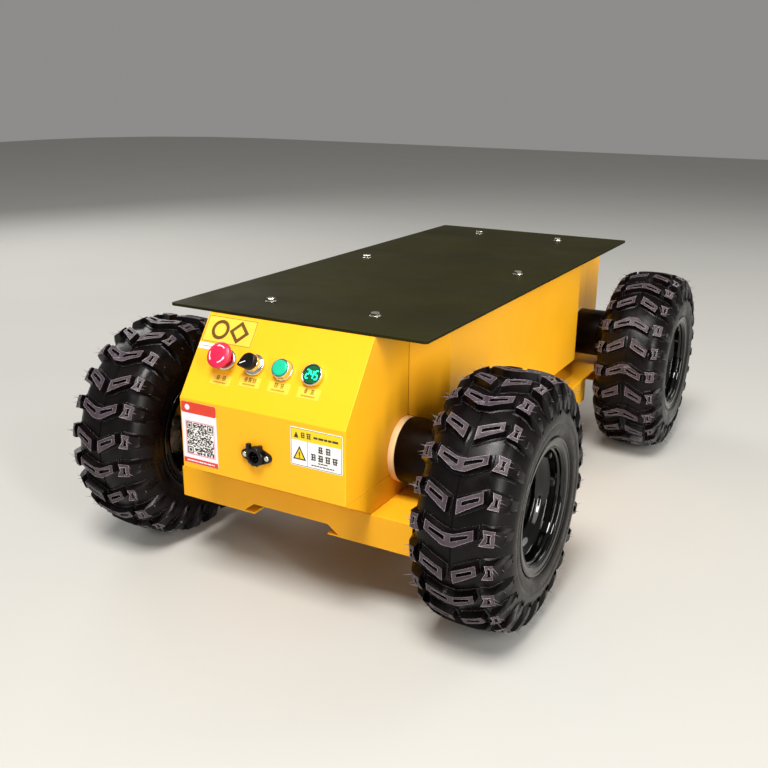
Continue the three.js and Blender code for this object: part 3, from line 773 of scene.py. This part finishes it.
def gear_outline():
    teeth, module = GEAR["teeth"], GEAR["module"]
    pitch = module * teeth / 2
    tip, foot = pitch + 0.85 * module, pitch - 1.1 * module
    points = []
    for i in range(teeth):
        for radius, share in ((foot, -0.30), (tip, -0.10), (tip, 0.10), (foot, 0.30)):
            angle = math.pi / 2 + (i + share) * 2 * math.pi / teeth
            points.append((radius * math.cos(angle), radius * math.sin(angle)))
    return points


def hub_mesh(start, end):
    """Spindle, flange and pilot, measured outward from the robot's centre plane."""
    flange = end - FLANGE_BACK
    profile = [(start, 0), (start, SPINDLE_R), (flange, SPINDLE_R), (flange, FLANGE_R),
               (flange + 0.006, FLANGE_R),
               (flange + 0.006, 0.041), (flange + 0.010, 0.041), (flange + 0.010, 0.020),
               (end - 0.003, 0.020), (end, 0.017), (end, 0.009), (end - 0.004, 0.007), (end - 0.004, 0)]
    bm = bmesh.new()
    lathe(bm, eased(profile, 0.0008), 72)
    return bm


def drives():
    rim = rim_mesh()
    for corner in CORNERS:
        side = outward(corner)
        wheel = Matrix.Translation(WHEEL_AXLE[corner]) @ side
        obj = shown(f"steel_rim_{corner}", rim, [RIM], f"wheel_{corner}", wheel)
        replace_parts(obj, f"rim_{corner}")
        wheel_nuts(corner, wheel)
        valve(corner, wheel)
        start, end = outward_span(f"hub_{corner}")
        axle = Matrix.Translation((0, WHEEL_AXLE[corner].y, WHEEL_AXLE[corner].z)) @ side
        hub = piece(f"axle_hub_{corner}", hub_mesh(start, end), [STEEL],
                    f"wheel_{corner}", axle)
        gear = bmesh.new()
        swept(gear, gear_outline(), GEAR["start"], GEAR["end"], chamfer=0.0004)
        wheel_gear = piece(f"axle_gear_{corner}", gear, [STEEL], f"wheel_{corner}",
                           axle @ ALONG_X)
        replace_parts(hub, f"hub_{corner}")
        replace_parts(wheel_gear, f"hub_{corner}")
        drive_case(corner, axle)


def lobes(offset):
    """The outline of two unequal round ends joined by straight sides, in local Y, Z."""
    lean = math.asin((WHEEL_LOBE_R - PINION_LOBE_R) / offset)
    lower = arc(WHEEL_LOBE_R, math.pi - lean, 2 * math.pi + lean, 40)
    upper = arc(PINION_LOBE_R, lean, math.pi - lean, 28, (0, offset))
    return lower + upper


def drive_case(corner, axle):
    """The round gearbox that carries the wheel, its lobed end plate and the reduction case."""
    offset = DRIVE_AXLE[corner].z - WHEEL_AXLE[corner].z
    start, plate_end = outward_span(f"gearbox_{corner}")
    case_end = outward_span(f"gear_case_{corner}")[1]
    near, far = outward_span(f"mounting_ring_{corner}")
    radius = half_size(f"gearbox_{corner}", 1)
    plate_start = plate_end - PLATE_THICKNESS
    groove = [(plate_start - 0.016, radius), (plate_start - 0.0155, radius - GROOVE_DEPTH),
              (plate_start - 0.0135, radius - GROOVE_DEPTH), (plate_start - 0.013, radius)]
    profile = [(start, 0), (start, SPIGOT_R), (far + 0.0003, SPIGOT_R), (far + 0.0003, radius), *groove,
               (plate_start + 0.001, radius), (plate_start + 0.001, 0)]
    bm = bmesh.new()
    lathe(bm, eased(profile, 0.0012), 96)
    drive_axis = axle @ Matrix.Translation((0, 0, offset))
    barrel = piece(f"drive_barrel_{corner}", bm, [DRIVE], "chassis", drive_axis)
    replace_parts(barrel, f"gearbox_{corner}")
    plate = bmesh.new()
    swept(plate, lobes(offset), plate_start + 0.001, plate_end, chamfer=0.0006)
    for centre in disc(PLATE_SCREW_CIRCLE_R, 6, (0, offset)):
        swept(plate, disc(0.0034, 18, centre), plate_start + 0.0005, plate_start + 0.0042,
              chamfer=0.0005)
    piece(f"drive_plate_{corner}", plate, [DRIVE], "chassis", axle @ ALONG_X)
    cover = bmesh.new()
    swept(cover, lobes(offset), plate_end + 0.0003, case_end, chamfer=0.0014)
    case = piece(f"reduction_case_{corner}", cover, [DRIVE], "chassis", axle @ ALONG_X)
    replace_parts(case, f"gear_case_{corner}")
    inner, outer = SPIGOT_R + 0.0004, half_size(f"mounting_ring_{corner}", 2)
    band = bmesh.new()
    section = eased([(near, inner), (near, outer), (far, outer), (far, inner)], 0.0009, closed=True)
    lathe(band, section, 96, closed=True)
    ring = piece(f"cream_ring_{corner}", band, [CREAM], "chassis", drive_axis)
    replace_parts(ring, f"mounting_ring_{corner}")


# -------------------- control panel
def turned_part(name, profile, materials, body, device, radius=0.0006):
    """A part turned about its device's axis; profile points are (out of the panel, radius) in mm."""
    bm = bmesh.new()
    lathe(bm, eased(scaled(profile), radius), 64)
    about_z(bm)
    return piece(name, bm, materials, body, on_panel(device))


ARROW_R = 12.2
KNOB_BACK_R = 11.8
KNOB_TIP = 18.7
KNOB_REST = math.radians(119)
SCREW_X = 0.0175
THREAD = [(-30, 0), (-30, 11), (0.3, 11)]  # the part of a device that passes through the panel
CROWN = [(0, 26), (5, 25.9), (9, 25.6), (13, 25.0), (15.6, 24.2), (17.4, 23.2)]


def emergency_stop():
    collar = turned_part("estop_bezel", [*THREAD, (0.3, 15), (4, 15), (5.4, 13),
                                         (5.4, 7), (-26, 7), (-26, 0)], [CHROME],
                         "chassis", "estop")
    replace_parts(collar, "estop_collar")
    stem = turned_part("estop_stem", [(-20, 0), (-20, 6), (15, 6), (15, 0)], [RED],
                       "estop_slider", "estop")
    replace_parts(stem, "estop_plunger")
    head = [*[(z, r) for r, z in CROWN], (21.9, 18.4), (18.8, 18.4), (17.6, 16.6), (15.4, 11), (13, 9.4),
            (11, 8.9), (11, 6.4), (15.4, 6.4), (15.4, 0)]
    mushroom = turned_part("estop_head", head, [RED], "estop_mushroom", "estop", 0.0012)
    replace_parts(mushroom, "estop_button")
    arrows = bmesh.new()
    for k in range(3):
        turn_arrow(arrows, math.radians(50 + 120 * k))
    piece("estop_arrows", arrows, [WHITE_PRINT], "estop_mushroom", on_panel("estop"))


def mushroom_height(radius):
    """The crown's height above the panel at a distance from its axis, in mm."""
    for (r0, z0), (r1, z1) in zip(CROWN, CROWN[1:]):
        if radius <= r1:
            return z0 + (z1 - z0) * (radius - r0) / (r1 - r0)
    return CROWN[-1][1]


def turn_arrow(bm, start):
    """A curved arrow, raised a little from the mushroom's crown."""
    steps = 12
    sweep = math.radians(64)
    widths = [0.62] * (steps - 3) + [1.5, 0.9, 0.15, 0.05]
    rails = []
    for i, width in zip(range(steps + 1), widths):
        angle = start + sweep * i / steps
        row = []
        for radius, lift in ((ARROW_R - width, -0.2), (ARROW_R - width, 0.22), (ARROW_R + width, 0.22),
                             (ARROW_R + width, -0.2)):
            z = (mushroom_height(radius) + lift) * MM
            row.append(bm.verts.new((radius * MM * math.cos(angle), radius * MM * math.sin(angle), z)))
        rails.append(row)
    skinned(bm, rails)


def selector_switch():
    collar = turned_part("selector_bezel", [*THREAD, (0.3, 15), (4, 15), (5.2, 13),
                                            (5.2, 6.5), (-22, 6.5), (-22, 0)], [CHROME],
                         "chassis", "selector")
    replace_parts(collar, "selector_collar")
    bm = bmesh.new()
    base = [(-20, 0), (-20, 6), (5.4, 6), (5.4, 11.8), (13.4, 11.8), (13.4, 0)]
    lathe(bm, eased(scaled(base), 0.0006), 64, material=2)
    about_z(bm)
    selector_grip(bm)
    knob = piece("selector_pointer", bm, [BLACK, WHITE_PRINT, CHROME], "selector",
                 on_panel("selector") @ Matrix.Rotation(KNOB_REST, 4, "Z"), math.radians(30))
    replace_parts(knob, "selector_knob")


def selector_grip(bm):
    """A teardrop grip: a round back whose straight sides meet at the pointer, with a wide top bevel."""
    lean = math.asin(KNOB_BACK_R / KNOB_TIP)
    back = arc(KNOB_BACK_R, math.pi - lean, 2 * math.pi + lean, 30)
    outline = back + [(0.9, KNOB_TIP - 1.4), (0, KNOB_TIP - 0.9), (-0.9, KNOB_TIP - 1.4)]
    levels = [(13, 0.96), (14, 0.98), (19.6, 0.95), (20.8, 0.9), (21.2, 0.8), (20.7, 0.7)]
    loops = []
    for height, scale in levels:
        loops.append([bm.verts.new((x * scale * MM, y * scale * MM, height * MM)) for x, y in outline])
    skinned(bm, loops)
    swept(bm, rectangle(-0.5 * MM, 0.5 * MM, 3 * MM, 12 * MM), 20.4 * MM, 21.1 * MM, material=1)


def start_switch():
    collar = turned_part("start_bezel", [*THREAD, (0.3, 14.5), (3, 14.5), (4, 13.4),
                                         (11.2, 13.2), (11.8, 12.6), (11.8, 11.6), (4.2, 11.6), (4.2, 8.5),
                                         (-14, 8.5), (-14, 0)], [CHROME], "chassis",
                         "start")
    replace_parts(collar, "start_collar")
    cap = turned_part("start_cap", [(-9, 0), (-9, 8), (8.2, 8), (8.2, 10.9), (12.8, 10.9), (13.6, 9.8),
                                    (13.9, 5), (14, 0)], [GREEN], "start", "start")
    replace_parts(cap, "start_button")


WELL_R = 13.3 * MM
WELL_FLOOR = 6.3 * MM
SEGMENTS = {"top": (0, 2.2, True), "middle": (0, 0, True), "bottom": (0, -2.2, True),
            "upper_left": (-1.15, 1.1, False), "upper_right": (1.15, 1.1, False),
            "lower_left": (-1.15, -1.1, False), "lower_right": (1.15, -1.1, False)}
DIGITS = {"2": ["top", "upper_right", "middle", "lower_left", "bottom"],
          "4": ["upper_left", "upper_right", "middle", "lower_right"],
          "5": ["top", "upper_left", "middle", "lower_right", "bottom"]}


def battery_voltmeter():
    body = turned_part("voltmeter_bezel", [(-35, 0), (-35, 11), (0.3, 11), (0.3, 15), (7, 15), (8, 14.4),
                                           (8, 13.4), (6.6, 12.6), (6.4, 0)], [CHROME, BLACK],
                       "chassis", "voltmeter")
    for face in body.data.polygons:  # the well behind the lens is black
        centre = face.center
        if centre.z > WELL_FLOOR and math.hypot(centre.x, centre.y) < WELL_R:
            face.material_index = 1
    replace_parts(body, "voltmeter")
    lens = bmesh.new()
    swept(lens, disc(12.2 * MM, 64), 6.45 * MM, 6.9 * MM, chamfer=0.0002)
    piece("voltmeter_lens", lens, [LENS_DARK], "chassis", on_panel("voltmeter"))
    digits = bmesh.new()
    for centre_x, digit in ((-6.4, "2"), (0.2, "4"), (6.8, "5")):
        for name in DIGITS[digit]:
            x, y, across = SEGMENTS[name]
            half = (1.9, 0.85) if across else (0.85, 2.3)
            mid_x, mid_y = centre_x + 1.7 * x, 2.6 * y
            swept(digits, rectangle((mid_x - half[0]) * MM, (mid_x + half[0]) * MM,
                                    (mid_y - half[1]) * MM, (mid_y + half[1]) * MM), 6.9 * MM, 7.2 * MM)
    piece("voltmeter_digits", digits, [LIT], "chassis", on_panel("voltmeter"))


def charging_socket():
    low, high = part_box("charge_socket")
    centre = Vector(((low.x + high.x) / 2, 0, (low.z + high.z) / 2))
    at = FACE_FRAME @ Matrix.Translation((centre.x, centre.z, 0))
    bm = bmesh.new()
    shell = [(3, 8.2), (3, 13), (7.4, 13), (8.2, 12.4), (9, 11.6), (9, 8.2)]
    lathe(bm, eased(scaled(shell), 0.0005, closed=True), 64, closed=True)
    cup = [(-25, 0), (-25, 10), (3.1, 10), (3.1, 8.2), (-8, 8.2), (-8, 0)]
    lathe(bm, scaled(cup), 48)
    about_z(bm)
    swept_ring(bm, two_hole_flange(SCREW_X, 0.0066, 0.0134), 0.0099, 0.0003, 0.0032)
    for pin in [(0.0, 0.0)] + arc(0.0046, 0.3, 2 * math.pi + 0.3, 4)[:4]:
        swept(bm, disc(0.0011, 14, pin), -0.009, 0.0055, chamfer=0.0004)
    for x in (-0.0098, 0.0084):
        ear = [(x - 0.003, 0.007), (x + 0.003, 0.007), (x + 0.0026, 0.0168), (x - 0.0026, 0.0168)]
        swept(bm, ear, 0.003, 0.0086, chamfer=0.0008)
    for angle in range(15, 375, 30):
        rib = arc(0.0137, math.radians(angle - 5), math.radians(angle + 5), 3)
        root = arc(0.0126, math.radians(angle + 5), math.radians(angle - 5), 3)
        swept(bm, rib + root, 0.0034, 0.0078, chamfer=0.0005)
    socket = piece("charge_socket_shell", bm, [BLACK], "chassis", at)
    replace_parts(socket, "charge_socket")
    screws = bmesh.new()
    for x in (-SCREW_X, SCREW_X):
        swept(screws, disc(0.0038, 24, (x, 0)), 0.0030, 0.0056, chamfer=0.0011)
    piece("charge_socket_screws", screws, [BOLT_STEEL], "chassis", at)


def swept_ring(bm, outline, hole_radius, start, end):
    """A flat plate with a round hole, from an outline in local X, Y."""
    count = len(outline)
    hole = disc(hole_radius, count)
    first = outline.index(max(outline))
    loops = [outline[first:] + outline[:first], hole]
    levels = [[[bm.verts.new((x, y, z)) for x, y in loop] for loop in loops] for z in (start, end)]
    for i in range(count):
        j = (i + 1) % count
        for lower, upper in zip(levels[0], levels[1]):
            bm.faces.new((lower[i], lower[j], upper[j], upper[i]))
        for outer, inner in levels:
            bm.faces.new((outer[i], outer[j], inner[j], inner[i]))


def two_hole_flange(reach, tip_radius, middle_radius):
    """The outline of a middle disc and two smaller round tips, joined by straight sides."""
    lean = math.asin((middle_radius - tip_radius) / reach)
    quarter = math.pi / 2
    right = arc(tip_radius, lean - quarter, quarter - lean, 10, (reach, 0))
    top = arc(middle_radius, quarter - lean, quarter + lean, 6)
    left = arc(tip_radius, quarter + lean, 3 * quarter - lean, 10, (-reach, 0))
    bottom = arc(middle_radius, 3 * quarter - lean, 3 * quarter + lean, 6)
    return right + top + left + bottom


# -------------------- printed labels
class Label:
    """A thin film with printed shapes standing on it, built as one mesh."""

    def __init__(self, name, at, film):
        self.name = name
        self.at = at
        self.bm = bmesh.new()
        self.materials = [film]

    def patch(self, outline, material, layer):
        if material not in self.materials:
            self.materials.append(material)
        start = PRINT_GAP if layer == 0 else PRINT_GAP * (layer + 0.5)
        end = PRINT_GAP * (layer + 2)
        swept(self.bm, scaled(outline), start, end, self.materials.index(material))

    def bar(self, x0, x1, y0, y1, material, layer):
        self.patch(rectangle(x0, x1, y0, y1), material, layer)

    def frame_line(self, x0, x1, y0, y1, width, material, layer):
        self.bar(x0, x1, y0, y0 + width, material, layer)
        self.bar(x0, x1, y1 - width, y1, material, layer)
        self.bar(x0, x0 + width, y0 + width, y1 - width, material, layer)
        self.bar(x1 - width, x1, y0 + width, y1 - width, material, layer)

    def ring(self, centre, radius, width, material, layer):
        outer = arc(radius, 0, 2 * math.pi, 40, centre)
        inner = arc(radius - width, 2 * math.pi, 0, 40, centre)
        for i in range(40):
            strip = [outer[i], outer[i + 1], inner[39 - i], inner[40 - i]]
            self.patch(strip, material, layer)

    def done(self):
        return piece(self.name, self.bm, self.materials, "chassis", self.at)


def dashes(label, rng, x0, x1, y, height, gap, material, layer=2):
    """A line of plain blocks where words would be."""
    x = x0
    while x < x1 - 0.5:
        length = min(rng.uniform(1.6, 4.2) * height, x1 - x)
        label.bar(x, x + length, y, y + height, material, layer)
        x += length + gap


ESTOP_LABEL_DROP = 0.0045  # its label sits lower, clear of the wide mushroom
DEVICE_GLYPH = {"levels": (0, 0.41, 0.82), "shares": (0.1, 0.55), "stroke": 0.14, "inset": 0.25,
                "ink": OLIVE_PRINT, "layer": 2}
NOTICE_GLYPH = {"levels": (0, 0.4, 0.85), "shares": (0.15, 0.6), "stroke": 0.16, "inset": 0.22,
                "ink": BLACK_PRINT, "layer": 4}


def device_labels():
    rng = random.Random(11)
    for name, count in {"estop": 2, "selector": 3, "start": 2, "voltmeter": 2}.items():
        x, down = PANEL[name]
        drop = ESTOP_LABEL_DROP if name == "estop" else 0
        label = Label(f"label_{name}", PANEL_FRAME @ Matrix.Translation((x, -down - drop, 0)), PALE_FILM)
        label.patch(rounded_rectangle(-17, 17, -31.2, -16, 1), PALE_FILM, 0)
        pitch = 7 if count == 3 else 10
        for k in range(count):
            glyph(label, rng, (k - (count - 1) / 2) * pitch - 3, -24, 6.2, **DEVICE_GLYPH)
        dashes(label, rng, -10.5, 10.5, -28.6, 1.9, 0.6, FAINT_PRINT)
        label.done()


def glyph(label, rng, x, y, size, levels, shares, stroke, inset, ink, layer):
    """A small square of crossing strokes that is no real character."""
    for level in levels:
        short = rng.uniform(0, inset) * size
        bottom = y + level * size
        label.bar(x + short, x + size - short, bottom, bottom + stroke * size, ink, layer)
    for share in shares:
        across = x + (share + rng.uniform(0, 0.2)) * size
        label.bar(across, across + stroke * size, y, y + size, ink, layer + 1)


def slope_labels():
    plate = Label("label_outline", PANEL_FRAME, PALE_FILM)
    plate.bar(-130.4, -46, -43, -3, PALE_FILM, 0)
    plate.frame_line(-129.4, -47, -42, -4, 0.8, OLIVE_PRINT, 2)
    plate.ring((-104, -23), 14.5, 5, BROWN_PRINT, 2)
    for half, print_, layer in ((16.5, BROWN_PRINT, 2), (9.6, PALE_FILM, 3)):
        corners = [(-72, -23 + half), (-72 + half, -23), (-72, -23 - half), (-72 - half, -23)]
        plate.patch(corners, print_, layer)
    plate.done()
    tag = Label("label_small_tag", PANEL_FRAME, WHITE_PRINT)
    tag.bar(-131, -98, -53.4, -44.4, WHITE_PRINT, 0)
    dashes(tag, random.Random(3), -126, -108, -49.6, 1.3, 0.8, FAINT_PRINT)
    tag.done()


def code_sticker():
    """The tall sticker at the corner, with a block pattern that carries no data."""
    x0, x1, z0, z1 = -130.4, -70.6, 195.5, 285.4
    label = Label("label_code_sticker", FACE_FRAME, PINK_PRINT)
    label.patch(rounded_rectangle(x0, x1, z0, z1, 3), PINK_PRINT, 0)
    label.patch(rounded_rectangle(x0, x1, z1 - 16, z1, 3), RED_PRINT, 2)
    label.bar(x0 + 0.5, x1 - 0.5, z0 + 0.4, z0 + 7.5, RED_PRINT, 2)
    label.patch(disc(4, 24, (x0 + 10.5, z1 - 8)), PINK_PRINT, 4)
    dashes(label, random.Random(5), x0 + 6, x1 - 6, z0 + 3, 1.7, 0.9, PINK_PRINT, 4)
    left, bottom, size, cells = x0 + 8, z0 + 15, 45.6, 33
    label.frame_line(left - 1.6, left + size + 1.6, bottom - 1.6, bottom + size + 1.6, 0.6, RED_PRINT, 2)
    label.bar(left, left + size, bottom, bottom + size, WHITE_PRINT, 1)
    unit = size / cells
    rng = random.Random(19)
    for row in range(cells):
        column = 0
        while column < cells:
            run = rng.choice([1, 1, 1, 2])
            inked = rng.random() < 0.5
            near_side = column < 8 or column + run > cells - 8
            if inked and not ((row > cells - 9 and near_side) or (row < 8 and column < 8)):
                right = min(column + run, cells)
                label.bar(left + column * unit, left + right * unit,
                          bottom + row * unit, bottom + (row + 1) * unit, BLACK_PRINT, 3)
            column += run
    for column, row in ((0, cells - 7), (cells - 7, cells - 7), (0, 0)):
        x, z = left + column * unit, bottom + row * unit
        label.frame_line(x, x + 7 * unit, z, z + 7 * unit, unit, BLACK_PRINT, 3)
        label.bar(x + 2 * unit, x + 5 * unit, z + 2 * unit, z + 5 * unit, BLACK_PRINT, 3)
    label.done()


def notice_sticker():
    """The wide sticker at the other corner: a plain triangle and rows of strokes."""
    x0, x1, z0, z1 = 50, 128.6, 229.5, 282.5
    label = Label("label_notice", FACE_FRAME, WHITE_PRINT)
    label.patch(rounded_rectangle(x0, x1, z0, z1, 2), WHITE_PRINT, 0)
    label.frame_line(x0 + 1.2, x1 - 1.2, z0 + 1.2, z1 - 1.2, 0.5, BLACK_PRINT, 2)
    label.bar(x0 + 1.7, x1 - 1.7, z1 - 17, z1 - 1.7, YELLOW_PRINT, 2)
    label.bar(x0 + 26, x0 + 26.4, z0 + 1.7, z1 - 17, BLACK_PRINT, 2)
    label.patch([(x0 + 4, z0 + 9), (x0 + 24, z0 + 9), (x0 + 14, z0 + 28)], BLACK_PRINT, 2)
    label.patch([(x0 + 7, z0 + 10.8), (x0 + 21, z0 + 10.8), (x0 + 14, z0 + 24.2)], YELLOW_PRINT, 4)
    label.bar(x0 + 13.2, x0 + 14.8, z0 + 14.2, z0 + 20, BLACK_PRINT, 6)
    label.bar(x0 + 13.2, x0 + 14.8, z0 + 11.8, z0 + 13.2, BLACK_PRINT, 6)
    label.patch([(x0 + 6, z1 - 14), (x0 + 13, z1 - 14), (x0 + 9.5, z1 - 6)], BLACK_PRINT, 4)
    rng = random.Random(23)
    for k in range(2):
        glyph(label, rng, x0 + 16 + k * 9, z1 - 13, 7, **NOTICE_GLYPH)
    dashes(label, rng, x0 + 36, x1 - 6, z1 - 11.2, 2.7, 1.3, BLACK_PRINT, 4)
    glyph_row(label, rng, x0 + 42, z0 + 24, 8.4, 2)
    glyph_row(label, rng, x0 + 31, z0 + 12.5, 8.4, 4)
    dashes(label, rng, x0 + 42, x1 - 22, z0 + 8.6, 1.4, 0.8, BLACK_PRINT)
    dashes(label, rng, x0 + 32, x1 - 12, z0 + 4.6, 1.4, 0.8, BLACK_PRINT)
    label.done()


def glyph_row(label, rng, x, z, size, count):
    for k in range(count):
        glyph(label, rng, x + k * size * 1.3, z, size, **NOTICE_GLYPH)


# -------------------- what stays as the CAD model has it
def inner_parts():
    finishes = {"battery_pack": BATTERY, "motor_controller": ALLOY, "receiver": BLACK}
    for corner in CORNERS:
        finishes[f"motor_{corner}"] = DRIVE
        finishes[f"pinion_{corner}"] = STEEL
    for node, material in finishes.items():
        mesh = frame["nodes"][node].data
        mesh.materials.clear()
        mesh.materials.append(material)


# -------------------- stage
CAMERA_AT = Vector((0.6865, -1.4377, 0.6968))
CAMERA_TURN = math.radians(28.976)
CAMERA_DOWN = math.radians(18.030)
CAMERA_ROLL = math.radians(0.5335)
LENS_MM = 43.01
FLOOR_HALF = 9
NEUTRAL = (1.0, 0.98, 0.95)
DAYLIGHT = (1.0, 0.99, 0.97)


def camera():
    data = bpy.data.cameras.new("camera")
    data.sensor_width = 36
    data.lens = LENS_MM
    data.clip_end = 50
    turn = Matrix.Rotation(CAMERA_TURN, 4, "Z") @ Matrix.Rotation(math.pi / 2 - CAMERA_DOWN, 4, "X")
    at = Matrix.Translation(CAMERA_AT) @ turn @ Matrix.Rotation(CAMERA_ROLL, 4, "Z")
    bpy.context.scene.camera = placed("camera", data, at)


def area_light(name, at, target, size, power, colour):
    data = bpy.data.lights.new(name, "AREA")
    data.shape = "RECTANGLE"
    data.size, data.size_y = size
    data.energy = power
    data.color = colour
    away = Vector(at) - Vector(target)
    placed(name, data, Matrix.Translation(at) @ away.to_track_quat("Z", "Y").to_matrix().to_4x4())


def studio():
    bm = bmesh.new()
    swept(bm, rounded_rectangle(-FLOOR_HALF, FLOOR_HALF, -FLOOR_HALF, FLOOR_HALF, 2), -0.05, 0.0)
    floor = placed("floor", finished("floor", bm))
    finish = Finish("pale_floor", "b6b5b1", 0.8)
    finish.stain(2, 3, 0.4, 0.7, 0.4, "b1b0ac")
    floor.data.materials.append(finish.material)
    world = bpy.data.worlds.new("studio")
    world.use_nodes = True
    background = world.node_tree.nodes["Background"].inputs
    background["Color"].default_value = (*NEUTRAL, 1)
    background["Strength"].default_value = 0.27
    bpy.context.scene.world = world
    area_light("key", (0.45, -1.75, 3.2), (0.1, -0.3, 0.25), (1.1, 1.2), 144, (1.0, 0.98, 0.94))
    area_light("fill", (3.1, -1.3, 1.5), (0.1, 0.1, 0.2), (1.4, 2.2), 34, (1.0, 0.97, 0.92))
    area_light("strip", (2.9, -1.9, 1.35), (0.2, -0.3, 0.2), (0.26, 2.3), 72, NEUTRAL)
    area_light("front", (-0.4, -3.2, 0.9), (0, -0.4, 0.15), (2.6, 1.0), 2, NEUTRAL)
    area_light("back", (2.0, 2.7, 2.5), (0, 0.2, 0.25), (2.2, 1.6), 40, DAYLIGHT)
    area_light("far_side", (-3.0, 1.4, 1.9), (0, 0.1, 0.2), (2.0, 1.6), 46, DAYLIGHT)
    bpy.context.scene.view_settings.view_transform = "Standard"


camera()
body_shell()
deck_bolts()
tyres()
drives()
emergency_stop()
selector_switch()
start_switch()
battery_voltmeter()
charging_socket()
device_labels()
slope_labels()
code_sticker()
notice_sticker()
inner_parts()
studio()
